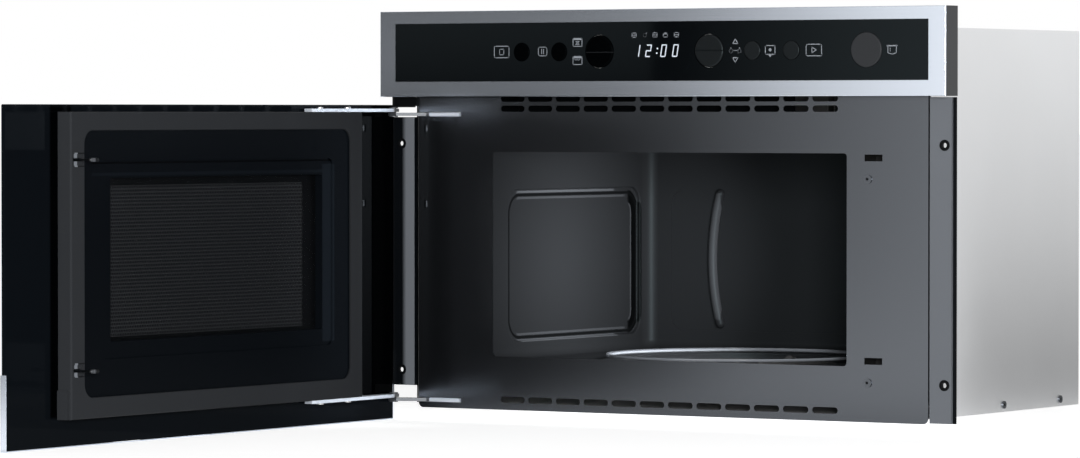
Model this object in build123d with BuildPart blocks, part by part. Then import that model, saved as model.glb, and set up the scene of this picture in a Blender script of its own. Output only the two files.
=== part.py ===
from build123d import *
import os
from math import cos, radians, sin

os.makedirs("parts", exist_ok=True)

# Built-in microwave oven with grill, in millimetres.
# X runs to the right, Y towards the back, Z up. The origin is the middle of the base's underside.
# Depths count back from the front of the control panel.
overall_width = 595.0
overall_depth = 320.0
front_y = -170.0
sheet = 0.8

# Control panel
panel_bottom = 286.0
panel_top = 365.5
panel_height = panel_top - panel_bottom
panel_middle = (panel_top + panel_bottom) / 2
panel_return = 1.2
housing_back = 22.0
window_width = 561.0
window_height = 54.0
fascia_front = 0.3
fascia_back = 2.3
key_height = 327.0
key_proud = 0.7
button_places = (-141.5, -101.0, 102.5, 142.5)
rocker_places = (-57.8, 57.8)
door_button_place = 218.5
button_radius = 8.3
rocker_radius = 14.8
door_button_radius = 15.5
rocker_axis_depth = 4.6
frame_plate_depth = 6.2
board_depth = 14.0

# Body and its face
body_half_width = 271.5
body_height = 347.0
body_front = 23.0
body_back = 317.0
plate_depth = 22.0
plate_half_width = 269.0
plate_bottom = -4.5
plate_top = 346.0
strip_depth = 19.8
strip_bottom = -3.5
strip_top = 285.0
strip_inner = 271.6
strip_edge = 293.3
strip_rim = 297.0
hinge_gap = (267.2, 276.3)
cabinet_hole_x = 286.5
cabinet_holes_z = (30.5, 242.5)

# Oven cavity
opening_half_width = 187.0
opening_bottom = 45.0
opening_top = 235.0
cavity_floor = 42.0
cavity_ceiling = 238.0
cavity_back = 303.0
cavity_wall = 1.0
cavity_corner = 12.0
floor_fillet = 10.0
plate_centre_depth = 153.0
well_radius = 127.0
well_floor = 29.0
vent_pitch = 30.0
vent_count = 12
latch_slot_x = 214.0
latch_heights = (50.0, 231.0)

# Door, sized as it stands when closed and modelled fully open
pivot_x = -290.0
pivot_depth = 11.5
pivot_radius = 5.0
door_bottom = -16.5
door_top = 278.5
glass_front = 2.0
glass_back = 6.0
band_top = 49.0
choke_half_width = 224.2
choke_bottom = 8.0
choke_top = 272.0
choke_front = 20.5
choke_middle = (choke_bottom + choke_top) / 2
hinge_plate = 3.0
pivot_y = pivot_depth + front_y


def y_at(depth):
    return depth + front_y


def face_at(depth):
    return Plane(origin=(0, y_at(depth), 0), x_dir=(1, 0, 0), z_dir=(0, -1, 0))


def side_at(x):
    return Plane(origin=(x, 0, 0), x_dir=(0, 1, 0), z_dir=(1, 0, 0))


# The open door: across it from its middle, up, and out of its front face
def door_face(depth):
    return Plane(
        origin=(pivot_x - pivot_depth + depth, pivot_y + pivot_x, 0), x_dir=(0, -1, 0), z_dir=(-1, 0, 0)
    )


# The open door from above: across it, and back from its front
def door_plan(height):
    return Plane(origin=(pivot_x - pivot_depth, pivot_y + pivot_x, height), x_dir=(0, -1, 0), z_dir=(0, 0, 1))


def save(piece, name):
    piece.part.label = name
    export_step(piece.part, f"parts/{name}.step")
    print(name, "solids", len(piece.part.solids()), "volume", round(piece.part.volume))


# Control panel

with BuildPart() as panel_frame:
    with BuildSketch(face_at(0)):
        with Locations((0, panel_middle)):
            Rectangle(overall_width, panel_height)
        with Locations((0, key_height)):
            Rectangle(window_width, window_height, mode=Mode.SUBTRACT)
    extrude(amount=-sheet)
    with BuildSketch(face_at(0)):
        with Locations((0, panel_middle)):
            Rectangle(overall_width, panel_height)
            Rectangle(overall_width - 2 * sheet, panel_height - 2 * sheet, mode=Mode.SUBTRACT)
    extrude(amount=-panel_return)
    front_rim = panel_frame.faces().sort_by(Axis.Y)[0].outer_wire().edges()
    fillet(front_rim, radius=0.6)
save(panel_frame, "panel_frame")

housing_wall = 2.0
ledge_width = 548.0
ledge_height = 44.0
shoulder = 0.95
with BuildPart() as panel_housing:
    with BuildSketch(face_at(housing_back)):
        with Locations((0, panel_middle)):
            Rectangle(overall_width, panel_height)
    extrude(amount=housing_back - panel_return)
    with BuildSketch(face_at(panel_return)):
        with Locations((0, panel_middle)):
            Rectangle(overall_width - 2 * shoulder, panel_height - 2 * shoulder)
    extrude(amount=panel_return - shoulder)
    with BuildSketch(face_at(0)):
        with Locations((0, panel_middle)):
            Rectangle(overall_width - 6, panel_height - 6)
    extrude(amount=-(housing_back - housing_wall), mode=Mode.SUBTRACT)
    with BuildSketch(face_at(fascia_back)):
        with Locations((0, panel_middle)):
            Rectangle(overall_width - 4, panel_height - 4)
        with Locations((0, key_height)):
            Rectangle(ledge_width, ledge_height, mode=Mode.SUBTRACT)
    extrude(amount=-housing_wall)
    with BuildSketch(face_at(housing_back)):
        for side in (-1, 1):
            with Locations((side * (overall_width / 2 + 272.5) / 2, panel_middle)):
                Rectangle(overall_width / 2 - 272.5, panel_height)
    extrude(amount=-(body_front - housing_back))
    with BuildSketch(face_at(strip_depth)):
        with Locations((-(strip_rim + 273) / 2, (panel_bottom + 1 + hinge_gap[1]) / 2)):
            Rectangle(strip_rim - 273, panel_bottom + 1 - hinge_gap[1])
    extrude(amount=-(body_front - strip_depth))
    with BuildSketch(face_at(housing_back)):
        with Locations((door_button_place, key_height)):
            Circle(6.1)
        with Locations((0, panel_middle)):
            SlotOverall(80, 14)
    extrude(amount=housing_wall, mode=Mode.SUBTRACT)
save(panel_housing, "panel_housing")

with BuildPart() as fascia:
    with BuildSketch(face_at(fascia_front)):
        with Locations((0, key_height)):
            Rectangle(window_width - 0.4, window_height - 0.4)
        with Locations(*[(x, key_height) for x in button_places]):
            Circle(button_radius + 0.4, mode=Mode.SUBTRACT)
        with Locations(*[(x, key_height) for x in rocker_places]):
            Circle(rocker_radius + 0.5, mode=Mode.SUBTRACT)
        with Locations((door_button_place, key_height)):
            Circle(door_button_radius + 0.4, mode=Mode.SUBTRACT)
    extrude(amount=-(fascia_back - fascia_front))
save(fascia, "fascia")

with BuildPart() as display_module:
    with BuildSketch(face_at(fascia_back)):
        with Locations((4, 331)):
            Rectangle(66, 32)
    extrude(amount=-3.6)
    with BuildSketch(face_at(fascia_back + 0.2)):
        with Locations((4, 331)):
            Rectangle(62, 28)
            Rectangle(58, 24, mode=Mode.SUBTRACT)
    extrude(amount=-5.0, mode=Mode.SUBTRACT)
save(display_module, "display_module")

stem_radius = 2.0
switch_front = 11.0
with BuildPart() as control_board:
    with BuildSketch(face_at(board_depth)):
        with Locations((0, key_height)):
            Rectangle(390, 46)
        with Locations((0, key_height)):
            with GridLocations(360, 38, 2, 2):
                Circle(3.4, mode=Mode.SUBTRACT)
    extrude(amount=-1.6)
    with BuildSketch(face_at(board_depth)):
        with Locations(*[(x, key_height) for x in button_places]):
            Rectangle(7, 7)
        with Locations(*[(x, key_height + side * 8) for x in rocker_places for side in (-1, 1)]):
            Rectangle(7, 7)
    extrude(amount=board_depth - switch_front)
    with BuildSketch(face_at(board_depth + 1.6)):
        with Locations((-20, 330)):
            Rectangle(22, 16)
        with Locations((120, 330)):
            Rectangle(16, 12)
    extrude(amount=-2.4)
save(control_board, "control_board")

post_radius = 3.0
trunnion_radius = 1.5
with BuildPart() as button_frame:
    with BuildSketch(face_at(frame_plate_depth)):
        with Locations((0, key_height)):
            Rectangle(524, 42)
        with Locations(*[(x, key_height) for x in button_places]):
            Circle(stem_radius + 0.15, mode=Mode.SUBTRACT)
        with Locations(*[(x, key_height + side * 8) for x in rocker_places for side in (-1, 1)]):
            Circle(2.6, mode=Mode.SUBTRACT)
        with Locations((door_button_place, key_height)):
            Circle(door_button_radius + 1.8, mode=Mode.SUBTRACT)
        with Locations((4, 331)):
            Rectangle(70, 36, mode=Mode.SUBTRACT)
    extrude(amount=-1.5)
    with BuildSketch(face_at(frame_plate_depth)):
        for x in rocker_places:
            for side in (-1, 1):
                with Locations((x + side * 18.2, key_height)):
                    Rectangle(2, 6)
    extrude(amount=frame_plate_depth - 2.9)
    with BuildSketch(side_at(min(rocker_places) - 25)):
        with Locations((y_at(rocker_axis_depth), key_height)):
            Circle(trunnion_radius + 0.05)
    extrude(amount=2 * max(rocker_places) + 50, mode=Mode.SUBTRACT)
    with BuildSketch(face_at(frame_plate_depth)):
        with Locations((0, key_height)):
            with GridLocations(360, 38, 2, 2):
                Circle(post_radius)
    extrude(amount=-(housing_back - housing_wall - frame_plate_depth))
save(button_frame, "button_frame")


flange_front = 2.6
flange_back = 3.6
for number, x in enumerate(button_places, start=1):
    with BuildPart() as button:
        with BuildSketch(face_at(flange_back)):
            with Locations((x, key_height)):
                Circle(button_radius)
        extrude(amount=flange_back + key_proud)
        fillet(button.faces().sort_by(Axis.Y)[0].edges(), radius=0.9)
        with BuildSketch(face_at(flange_back)):
            with Locations((x, key_height)):
                Circle(button_radius + 1.3)
        extrude(amount=flange_back - flange_front)
        with BuildSketch(face_at(flange_back)):
            with Locations((x, key_height)):
                Circle(stem_radius)
        extrude(amount=-(9.2 - flange_back))
    save(button, f"button_{number}")

for x, name in zip(rocker_places, ("rocker_left", "rocker_right")):
    with BuildPart() as rocker:
        with BuildSketch(face_at(flange_back)):
            with Locations((x, key_height)):
                Circle(rocker_radius)
        extrude(amount=flange_back + key_proud)
        fillet(rocker.faces().sort_by(Axis.Y)[0].edges(), radius=1.6)
        with BuildSketch(face_at(-key_proud)):
            with Locations((x, key_height)):
                Rectangle(2 * rocker_radius, 1.2)
        extrude(amount=-1.1, mode=Mode.SUBTRACT)
        with BuildSketch(side_at(x - 19.5)):
            with Locations((y_at(rocker_axis_depth), key_height)):
                Circle(trunnion_radius)
        extrude(amount=39)
        with BuildSketch(face_at(5.6)):
            with Locations((x, key_height)):
                Rectangle(28, 6)
        extrude(amount=5.6 - flange_back)
        with BuildSketch(face_at(flange_back)):
            with Locations((x, key_height + 8), (x, key_height - 8)):
                Circle(1.5)
        extrude(amount=-(9.4 - flange_back))
    save(rocker, name)

with BuildPart() as door_button:
    with BuildSketch(face_at(flange_back)):
        with Locations((door_button_place, key_height)):
            Circle(door_button_radius)
    extrude(amount=flange_back + key_proud)
    fillet(door_button.faces().sort_by(Axis.Y)[0].edges(), radius=1.0)
    with BuildSketch(face_at(flange_back)):
        with Locations((door_button_place, key_height)):
            Circle(door_button_radius + 1.2)
    extrude(amount=flange_back - flange_front)
    with BuildSketch(face_at(flange_back)):
        with Locations((door_button_place, key_height)):
            Circle(6)
    extrude(amount=-(plate_depth - flange_back))
    with BuildSketch(face_at(plate_depth)):
        with Locations((door_button_place, key_height)):
            Circle(3)
    extrude(amount=-4.5)
save(door_button, "door_button")

# Door release lever behind the face plate, on its own pivot pin
lever_pivot_depth = 34.0
lever_pivot_z = 300.0
with BuildPart() as door_release_lever:
    with BuildSketch(side_at(door_button_place - 5)):
        with BuildLine():
            Polyline(
                (y_at(27), 333),
                (y_at(27), 300),
                (y_at(38), 290),
                (y_at(38), 236.5),
                (y_at(41.5), 236.5),
                (y_at(41.5), 302),
                (y_at(31), 312),
                (y_at(31), 333),
                close=True,
            )
        make_face()
    extrude(amount=10)
    with BuildSketch(side_at(door_button_place - 12)):
        with Locations((y_at(lever_pivot_depth), lever_pivot_z)):
            Circle(2.0)
    extrude(amount=24)
save(door_release_lever, "door_release_lever")

# Body

with BuildPart() as face_plate:
    with BuildSketch(face_at(plate_depth)):
        with Locations((0, (plate_top + plate_bottom) / 2)):
            RectangleRounded(2 * plate_half_width, plate_top - plate_bottom, 5)
        with Locations((0, (opening_top + opening_bottom) / 2)):
            RectangleRounded(2 * opening_half_width, opening_top - opening_bottom, 3, mode=Mode.SUBTRACT)
        with Locations((0, 279.55)):
            with GridLocations(vent_pitch, 9.3, vent_count, 2):
                SlotOverall(26, 5.8, mode=Mode.SUBTRACT)
        with Locations((0, 5.0)):
            with GridLocations(vent_pitch, 1, vent_count, 1):
                SlotOverall(26, 5.8, mode=Mode.SUBTRACT)
        with Locations(*[(latch_slot_x, z) for z in latch_heights]):
            Rectangle(18, 6, mode=Mode.SUBTRACT)
        with Locations((208.5, 212), (208.5, 30.5)):
            Circle(1.8, mode=Mode.SUBTRACT)
        with Locations((door_button_place, key_height)):
            Circle(8, mode=Mode.SUBTRACT)
        with Locations((0, panel_middle)):
            SlotOverall(80, 14, mode=Mode.SUBTRACT)
    extrude(amount=-sheet)
    with BuildSketch(face_at(plate_depth)):
        for side in (-1, 1):
            with Locations((side * (plate_half_width - sheet / 2), 176)):
                Rectangle(sheet, 328)
    extrude(amount=-12)
    with BuildSketch(face_at(plate_depth - 1)):
        with Locations((-246, 269.8), (-246, 2.8)):
            Rectangle(48, 4)
    extrude(amount=-15, mode=Mode.SUBTRACT)
save(face_plate, "face_plate")


def strip_points(side):
    corners = (
        (strip_inner, 45.0),
        (strip_inner, strip_depth),
        (strip_edge, strip_depth),
        (strip_edge, plate_depth + 0.2),
        (strip_rim, plate_depth + 0.2),
        (strip_rim, body_front),
        (strip_edge - sheet, body_front),
        (strip_edge - sheet, strip_depth + sheet),
        (strip_inner + sheet, strip_depth + sheet),
        (strip_inner + sheet, 45.0),
    )
    return [(side * x, y_at(depth)) for x, depth in corners]


with BuildPart() as flange_right:
    with BuildSketch(Plane.XY.offset(strip_bottom)):
        with BuildLine():
            Polyline(*strip_points(1), close=True)
        make_face()
    extrude(amount=strip_top - strip_bottom)
    with BuildSketch(face_at(strip_depth)):
        with Locations(*[(cabinet_hole_x, z) for z in cabinet_holes_z]):
            Circle(4.25)
    extrude(amount=-4, mode=Mode.SUBTRACT)
save(flange_right, "flange_right")

with BuildPart() as flange_left:
    with BuildSketch(Plane.XY.offset(16)):
        with BuildLine():
            Polyline(*strip_points(-1), close=True)
        make_face()
    extrude(amount=hinge_gap[0] - 16)
    with BuildSketch(face_at(strip_depth)):
        with Locations(*[(-cabinet_hole_x, z) for z in cabinet_holes_z]):
            Circle(4.25)
    extrude(amount=-4, mode=Mode.SUBTRACT)
save(flange_left, "flange_left")

bush_hole = 2.3
with BuildPart() as flange_bushes:
    with BuildSketch(face_at(strip_depth)):
        with Locations((0, sum(cabinet_holes_z) / 2)):
            with GridLocations(2 * cabinet_hole_x, cabinet_holes_z[1] - cabinet_holes_z[0], 2, 2):
                Circle(4.9)
                Circle(bush_hole, mode=Mode.SUBTRACT)
    extrude(amount=0.8)
    with BuildSketch(face_at(strip_depth)):
        with Locations((0, sum(cabinet_holes_z) / 2)):
            with GridLocations(2 * cabinet_hole_x, cabinet_holes_z[1] - cabinet_holes_z[0], 2, 2):
                Circle(4.2)
                Circle(bush_hole, mode=Mode.SUBTRACT)
    extrude(amount=-1.8)
save(flange_bushes, "flange_bushes")

side_screws = (164.0, 278.0)
side_screw_z = 6.5
back_screws_x = (-240.0, -100.0, 100.0, 240.0)
back_screws_z = (8.0, 339.0)
with BuildPart() as outer_wrapper:
    with BuildSketch(face_at(body_front)):
        with Locations((0, body_height / 2)):
            Rectangle(2 * body_half_width, body_height)
        with Locations((0, (body_height - sheet) / 2)):
            Rectangle(2 * (body_half_width - sheet), body_height - sheet, mode=Mode.SUBTRACT)
    extrude(amount=-(body_back - body_front))
    top_bends = outer_wrapper.edges().filter_by(Axis.Y).group_by(Axis.Z)[-1]
    fillet([top_bends.sort_by(Axis.X)[0], top_bends.sort_by(Axis.X)[-1]], radius=0.7)
    with BuildSketch(face_at(315)):
        with Locations((0, body_height - sheet - 7)):
            Rectangle(520, 14)
        with Locations(*[(x, back_screws_z[1]) for x in back_screws_x]):
            Circle(1.7, mode=Mode.SUBTRACT)
    extrude(amount=-sheet)
    with BuildSketch(side_at(-body_half_width - 1)):
        with Locations(*[(y_at(depth), side_screw_z) for depth in side_screws]):
            Circle(1.8)
    extrude(amount=2 * body_half_width + 2, mode=Mode.SUBTRACT)
save(outer_wrapper, "outer_wrapper")

base_half_width = body_half_width - 1.0
base_front = 24.0
base_back = 316.0
with BuildPart() as base_plate:
    with BuildSketch(Plane.XY):
        with Locations((0, y_at((base_front + base_back) / 2))):
            Rectangle(2 * base_half_width, base_back - base_front)
        for x in (-225, 225):
            with Locations((x, y_at(250))):
                with GridLocations(10, 1, 7, 1):
                    SlotOverall(50, 4, rotation=90, mode=Mode.SUBTRACT)
    extrude(amount=1)
    with BuildSketch(Plane.XY.offset(1)):
        for side in (-1, 1):
            with Locations((side * (base_half_width - 0.5), y_at((base_front + base_back) / 2))):
                Rectangle(1, base_back - base_front)
        with Locations((0, y_at(base_back - 0.5))):
            Rectangle(2 * base_half_width, 1)
    extrude(amount=13)
    with BuildSketch(side_at(-body_half_width - 1)):
        with Locations(*[(y_at(depth), side_screw_z) for depth in side_screws]):
            Circle(1.8)
    extrude(amount=2 * body_half_width + 2, mode=Mode.SUBTRACT)
    with BuildSketch(face_at(base_back - 2)):
        with Locations(*[(x, back_screws_z[0]) for x in back_screws_x]):
            Circle(1.7)
    extrude(amount=-3, mode=Mode.SUBTRACT)
save(base_plate, "base_plate")

gland_place = (-225.0, 60.0)
fan_x = 145.0
fan_z = 291.0
with BuildPart() as back_panel:
    with BuildSketch(face_at(base_back)):
        with Locations((0, (1.2 + 346) / 2)):
            Rectangle(2 * base_half_width, 344.8)
        with Locations((fan_x, fan_z)):
            with GridLocations(9, 1, 9, 1):
                SlotOverall(70, 4.5, rotation=90, mode=Mode.SUBTRACT)
        with Locations((-150, 300)):
            with GridLocations(10, 1, 12, 1):
                SlotOverall(40, 4.5, rotation=90, mode=Mode.SUBTRACT)
        with Locations(gland_place):
            Circle(6, mode=Mode.SUBTRACT)
        with Locations(*[(x, z) for x in back_screws_x for z in back_screws_z]):
            Circle(1.7, mode=Mode.SUBTRACT)
    extrude(amount=-sheet)
    with BuildSketch(face_at(base_back + sheet)):
        with Locations((-60, 150), (60, 150)):
            RectangleRounded(14, 220, 5)
    extrude(amount=-(overall_depth - base_back - sheet))
save(back_panel, "back_panel")

with BuildPart() as cable_gland:
    with BuildSketch(face_at(base_back + sheet)):
        with Locations(gland_place):
            Circle(9)
    extrude(amount=-(overall_depth - base_back - sheet))
    with BuildSketch(face_at(base_back + sheet)):
        with Locations(gland_place):
            Circle(5.9)
    extrude(amount=6)
    with BuildSketch(face_at(base_back + sheet - 6.5)):
        with Locations(gland_place):
            Circle(3.6)
    extrude(amount=-12, mode=Mode.SUBTRACT)
save(cable_gland, "cable_gland")

screw_radius = 1.6
socket_radius = 1.15
with BuildPart() as case_screws:
    for side in (-1, 1):
        outward = Plane(origin=(side * body_half_width, 0, 0), x_dir=(0, side, 0), z_dir=(side, 0, 0))
        with BuildSketch(outward):
            with Locations(*[(side * y_at(depth), side_screw_z) for depth in side_screws]):
                Circle(3.5)
                RegularPolygon(socket_radius, 6, mode=Mode.SUBTRACT)
        extrude(amount=1.3)
        with BuildSketch(outward):
            with Locations(*[(side * y_at(depth), side_screw_z) for depth in side_screws]):
                Circle(screw_radius)
        extrude(amount=-8)
    with BuildSketch(face_at(base_back + sheet)):
        with Locations(*[(x, z) for x in back_screws_x for z in back_screws_z]):
            Circle(3.5)
            RegularPolygon(socket_radius, 6, mode=Mode.SUBTRACT)
    extrude(amount=-1.4)
    with BuildSketch(face_at(base_back + sheet)):
        with Locations(*[(x, z) for x in back_screws_x for z in back_screws_z]):
            Circle(screw_radius)
    extrude(amount=6)
    with BuildSketch(face_at(plate_depth)):
        with Locations((208.5, 212), (208.5, 30.5)):
            Circle(3.9)
            RegularPolygon(socket_radius, 6, mode=Mode.SUBTRACT)
    extrude(amount=1.1)
    with BuildSketch(face_at(plate_depth)):
        with Locations((208.5, 212), (208.5, 30.5)):
            Circle(screw_radius)
    extrude(amount=-10)
save(case_screws, "case_screws")

# Oven cavity with its pressed panels and the well of the turntable


def cavity_outline(grow, front):
    with BuildSketch(Plane.XY) as outline:
        with Locations((0, y_at((front + cavity_back + grow) / 2))):
            Rectangle(2 * (opening_half_width + grow), cavity_back + grow - front)
        fillet(outline.vertices().group_by(Axis.Y)[-1], radius=cavity_corner + grow)
    return outline.sketch


with BuildPart() as cavity_space:
    add(Plane.XY.offset(cavity_floor) * cavity_outline(0, plate_depth))
    extrude(amount=cavity_ceiling - cavity_floor)
    fillet(cavity_space.faces().sort_by(Axis.Z)[0].edges().sort_by(Axis.Y)[1:], radius=floor_fillet)
    with BuildSketch(Plane.XY.offset(well_floor)):
        with Locations((0, y_at(plate_centre_depth))):
            Circle(well_radius)
    extrude(amount=cavity_floor - well_floor)

well_centre = (0, y_at(plate_centre_depth))
heater_height = 246.0
heater_depths = (85.0, 122.5, 160.0, 197.5)
heater_outlets = (heater_depths[0], heater_depths[-1])
grill_top = 252.0
grill_middle = (-18.0, y_at(141.5))
grill_width = 220.0
grill_length = 139.0
emboss = 5.0
emboss_middle = (y_at(170), 128.5)
emboss_width = 240.0
emboss_height = 142.0
emboss_corner = 16.0
emboss_span_y = (emboss_middle[0], emboss_width / 2)
emboss_span_z = (emboss_middle[1], emboss_height / 2)
back_emboss = 1.2
back_emboss_width = 320.0
back_emboss_height = 136.0
bead_radius = 5.0
bead_sunk = 1.6
bead_arc = ThreePointArc((-105.5, 193), (-114, 130.5), (-105.5, 68))
bead_plane = face_at(cavity_back + bead_sunk)
bead_path = bead_plane * bead_arc
bead_section = Plane(origin=bead_path @ 0, z_dir=bead_path % 0) * Circle(bead_radius)
bead_ends = [Pos(*(bead_path @ end)) * Sphere(bead_radius) for end in (0, 1)]
bead = sweep(bead_section, path=bead_path) + bead_ends
bead_trim = Pos(-110, y_at(cavity_back + back_emboss + 0.3) - 10, 130) * Box(40, 20, 160)
left_bead = bead & bead_trim
with BuildPart() as cavity_shell:
    add(Plane.XY.offset(cavity_floor - cavity_wall) * cavity_outline(cavity_wall, plate_depth + sheet))
    extrude(amount=cavity_ceiling - cavity_floor + 2 * cavity_wall)
    lower_rim = cavity_shell.faces().sort_by(Axis.Z)[0].edges().sort_by(Axis.Y)[1:]
    fillet(lower_rim, radius=floor_fillet + cavity_wall)
    with BuildSketch(Plane.XY.offset(well_floor - cavity_wall)):
        with Locations(well_centre):
            Circle(well_radius + cavity_wall)
    extrude(amount=cavity_floor - well_floor)
    with BuildSketch(Plane.XY.offset(cavity_ceiling)):
        with Locations(grill_middle):
            RectangleRounded(grill_width + 2 * cavity_wall, grill_length + 2 * cavity_wall, 9)
    extrude(amount=grill_top + cavity_wall - cavity_ceiling)
    with BuildSketch(face_at(plate_depth + sheet)):
        with Locations((0, (opening_top + opening_bottom) / 2)):
            Rectangle(2 * opening_half_width + 26, opening_top - opening_bottom + 30)
    extrude(amount=-cavity_wall)
    with BuildSketch(side_at(-opening_half_width - cavity_wall)):
        with Locations(emboss_middle):
            RectangleRounded(
                emboss_width + 2 * cavity_wall, emboss_height + 2 * cavity_wall, emboss_corner + cavity_wall
            )
    extrude(amount=-emboss)
    with BuildSketch(face_at(cavity_back + cavity_wall)):
        with Locations((0, emboss_middle[1])):
            RectangleRounded(back_emboss_width + 2 * cavity_wall, back_emboss_height + 2 * cavity_wall, 15)
    extrude(amount=-back_emboss)
    add(cavity_space.part, mode=Mode.SUBTRACT)
    with BuildSketch(side_at(-opening_half_width)):
        with Locations(emboss_middle):
            RectangleRounded(emboss_width, emboss_height, emboss_corner)
    extrude(amount=-emboss, mode=Mode.SUBTRACT)
    emboss_floor = -opening_half_width - emboss
    floor_edges = cavity_shell.edges().filter_by_position(Axis.X, emboss_floor - 0.01, emboss_floor + 0.01)
    fillet(floor_edges, radius=2)
    mouth = cavity_shell.edges().filter_by_position(
        Axis.X, -opening_half_width - 0.01, -opening_half_width + 0.01
    )
    for axis, middle, reach in ((Axis.Y, *emboss_span_y), (Axis.Z, *emboss_span_z)):
        mouth = mouth.filter_by_position(axis, middle - reach - 0.1, middle + reach + 0.1)
    fillet(mouth, radius=1.4)
    with BuildSketch(face_at(cavity_back)):
        with Locations((0, emboss_middle[1])):
            RectangleRounded(back_emboss_width, back_emboss_height, 14)
    extrude(amount=-back_emboss, mode=Mode.SUBTRACT)
    add(left_bead)
    add(left_bead.mirror(Plane.YZ))
    with BuildSketch(Plane.XY.offset(cavity_ceiling - 0.1)):
        with Locations(grill_middle):
            RectangleRounded(grill_width, grill_length, 8)
    extrude(amount=grill_top - cavity_ceiling + 0.1, mode=Mode.SUBTRACT)
    with BuildSketch(side_at(opening_half_width - 1)):
        with Locations((y_at(145), 140)):
            Rectangle(78, 58)
        with Locations((y_at(65), 200)):
            with GridLocations(1, 5, 1, 5):
                SlotOverall(18, 2.4)
    extrude(amount=3, mode=Mode.SUBTRACT)
    with BuildSketch(side_at(grill_middle[0] + grill_width / 2 - 1)):
        with Locations(*[(y_at(depth), heater_height) for depth in heater_outlets]):
            Circle(4.2)
    extrude(amount=4, mode=Mode.SUBTRACT)
    with BuildSketch(Plane.XY.offset(well_floor - 2)):
        with Locations(well_centre):
            Circle(8)
    extrude(amount=4, mode=Mode.SUBTRACT)
save(cavity_shell, "cavity_shell")

with BuildPart() as waveguide_cover:
    with BuildSketch(side_at(opening_half_width - 0.9)):
        with Locations((y_at(145), 140)):
            RectangleRounded(92, 72, 3)
    extrude(amount=0.8)
save(waveguide_cover, "waveguide_cover")

guide_inner = opening_half_width + cavity_wall
with BuildPart() as waveguide:
    with Locations((guide_inner + 20, y_at(145), 211)):
        Box(40, 94, 222)
        Box(38, 92, 220, mode=Mode.SUBTRACT)
    with Locations((guide_inner, y_at(145), 140)):
        Box(6, 78, 58, mode=Mode.SUBTRACT)
    with BuildSketch(side_at(guide_inner - 1)):
        with Locations((y_at(145), fan_z)):
            Circle(12)
    extrude(amount=3, mode=Mode.SUBTRACT)
save(waveguide, "waveguide")

fin_count = 9
with BuildPart() as magnetron:
    with Locations((guide_inner - 2.1, y_at(145), fan_z)):
        Box(4, 94, 86)
    with BuildSketch(side_at(guide_inner - 0.1)):
        with Locations((y_at(145), fan_z)):
            Circle(9)
    extrude(amount=24)
    with BuildSketch(face_at(108)):
        with Locations((152, fan_z)):
            Rectangle(66, 76)
            Rectangle(62, 72, mode=Mode.SUBTRACT)
    extrude(amount=-74)
    with BuildSketch(side_at(120)):
        with Locations((y_at(145), fan_z)):
            Circle(19)
    extrude(amount=64)
    for fin in range(fin_count):
        with Locations((126 + 6.5 * fin, y_at(145), fan_z)):
            Box(0.8, 70, 73)
    with Locations((108, y_at(145), fan_z)):
        Box(24, 62, 54)
save(magnetron, "magnetron")

with BuildPart() as hv_transformer:
    with Locations((230, y_at(245), 34)):
        Box(68, 58, 64)
    with Locations((230 - 17, y_at(245), 36), (230 + 17, y_at(245), 36)):
        Box(18, 60, 34, mode=Mode.SUBTRACT)
    with BuildSketch(Plane.XY.offset(20.5)):
        with Locations((230, y_at(245))):
            RectangleRounded(50, 84, 10)
            Rectangle(16.6, 58.6, mode=Mode.SUBTRACT)
    extrude(amount=31)
save(hv_transformer, "hv_transformer")

with BuildPart() as hv_capacitor:
    with BuildSketch(Plane.XY.offset(1.2)):
        with Locations((232, y_at(130))):
            SlotOverall(62, 34, rotation=90)
    extrude(amount=84)
    with BuildSketch(Plane.XY.offset(85.2)):
        with Locations((232, y_at(120)), (232, y_at(140))):
            Rectangle(1, 6.3)
    extrude(amount=9)
save(hv_capacitor, "hv_capacitor")

# Cooling fan, blowing forward through the magnetron
rotor_radius = 44.0
with BuildPart() as fan_shroud:
    with BuildSketch(face_at(204)):
        with Locations((fan_x, fan_z)):
            Rectangle(102, 101)
            Rectangle(98, 97, mode=Mode.SUBTRACT)
    extrude(amount=-60)
    with BuildSketch(face_at(230)):
        with Locations((fan_x, fan_z)):
            Rectangle(102, 101)
            Circle(rotor_radius + 1.5, mode=Mode.SUBTRACT)
    extrude(amount=-2)
    with BuildSketch(face_at(262)):
        with Locations((fan_x, fan_z)):
            Rectangle(102, 12)
            Rectangle(12, 101)
            Circle(10, mode=Mode.SUBTRACT)
    extrude(amount=-2)
save(fan_shroud, "fan_shroud")

with BuildPart() as fan_motor:
    with BuildSketch(face_at(264)):
        with Locations((fan_x, fan_z)):
            Rectangle(56, 46)
    extrude(amount=-18)
    with BuildSketch(face_at(266)):
        with Locations((fan_x, fan_z - 36)):
            Rectangle(30, 26)
    extrude(amount=-20)
    with BuildSketch(face_at(264)):
        with Locations((fan_x, fan_z)):
            Circle(3.05)
    extrude(amount=-24, mode=Mode.SUBTRACT)
save(fan_motor, "fan_motor")

blade_count = 7
with BuildPart() as fan_rotor:
    with BuildSketch(face_at(238)):
        with Locations((fan_x, fan_z)):
            Circle(12)
    extrude(amount=-20)
    for blade in range(blade_count):
        turn = radians(360 / blade_count * blade)
        outward = (cos(turn), 0, sin(turn))
        root = (fan_x + 10 * cos(turn), y_at(248), fan_z + 10 * sin(turn))
        with BuildSketch(Plane(origin=root, x_dir=(-0.7 * sin(turn), 0.7, 0.7 * cos(turn)), z_dir=outward)):
            Rectangle(22, 1.2)
        extrude(amount=rotor_radius - 12)
    with BuildSketch(face_at(250)):
        with Locations((fan_x, fan_z)):
            Circle(3)
    extrude(amount=-36)
save(fan_rotor, "fan_rotor")

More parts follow.
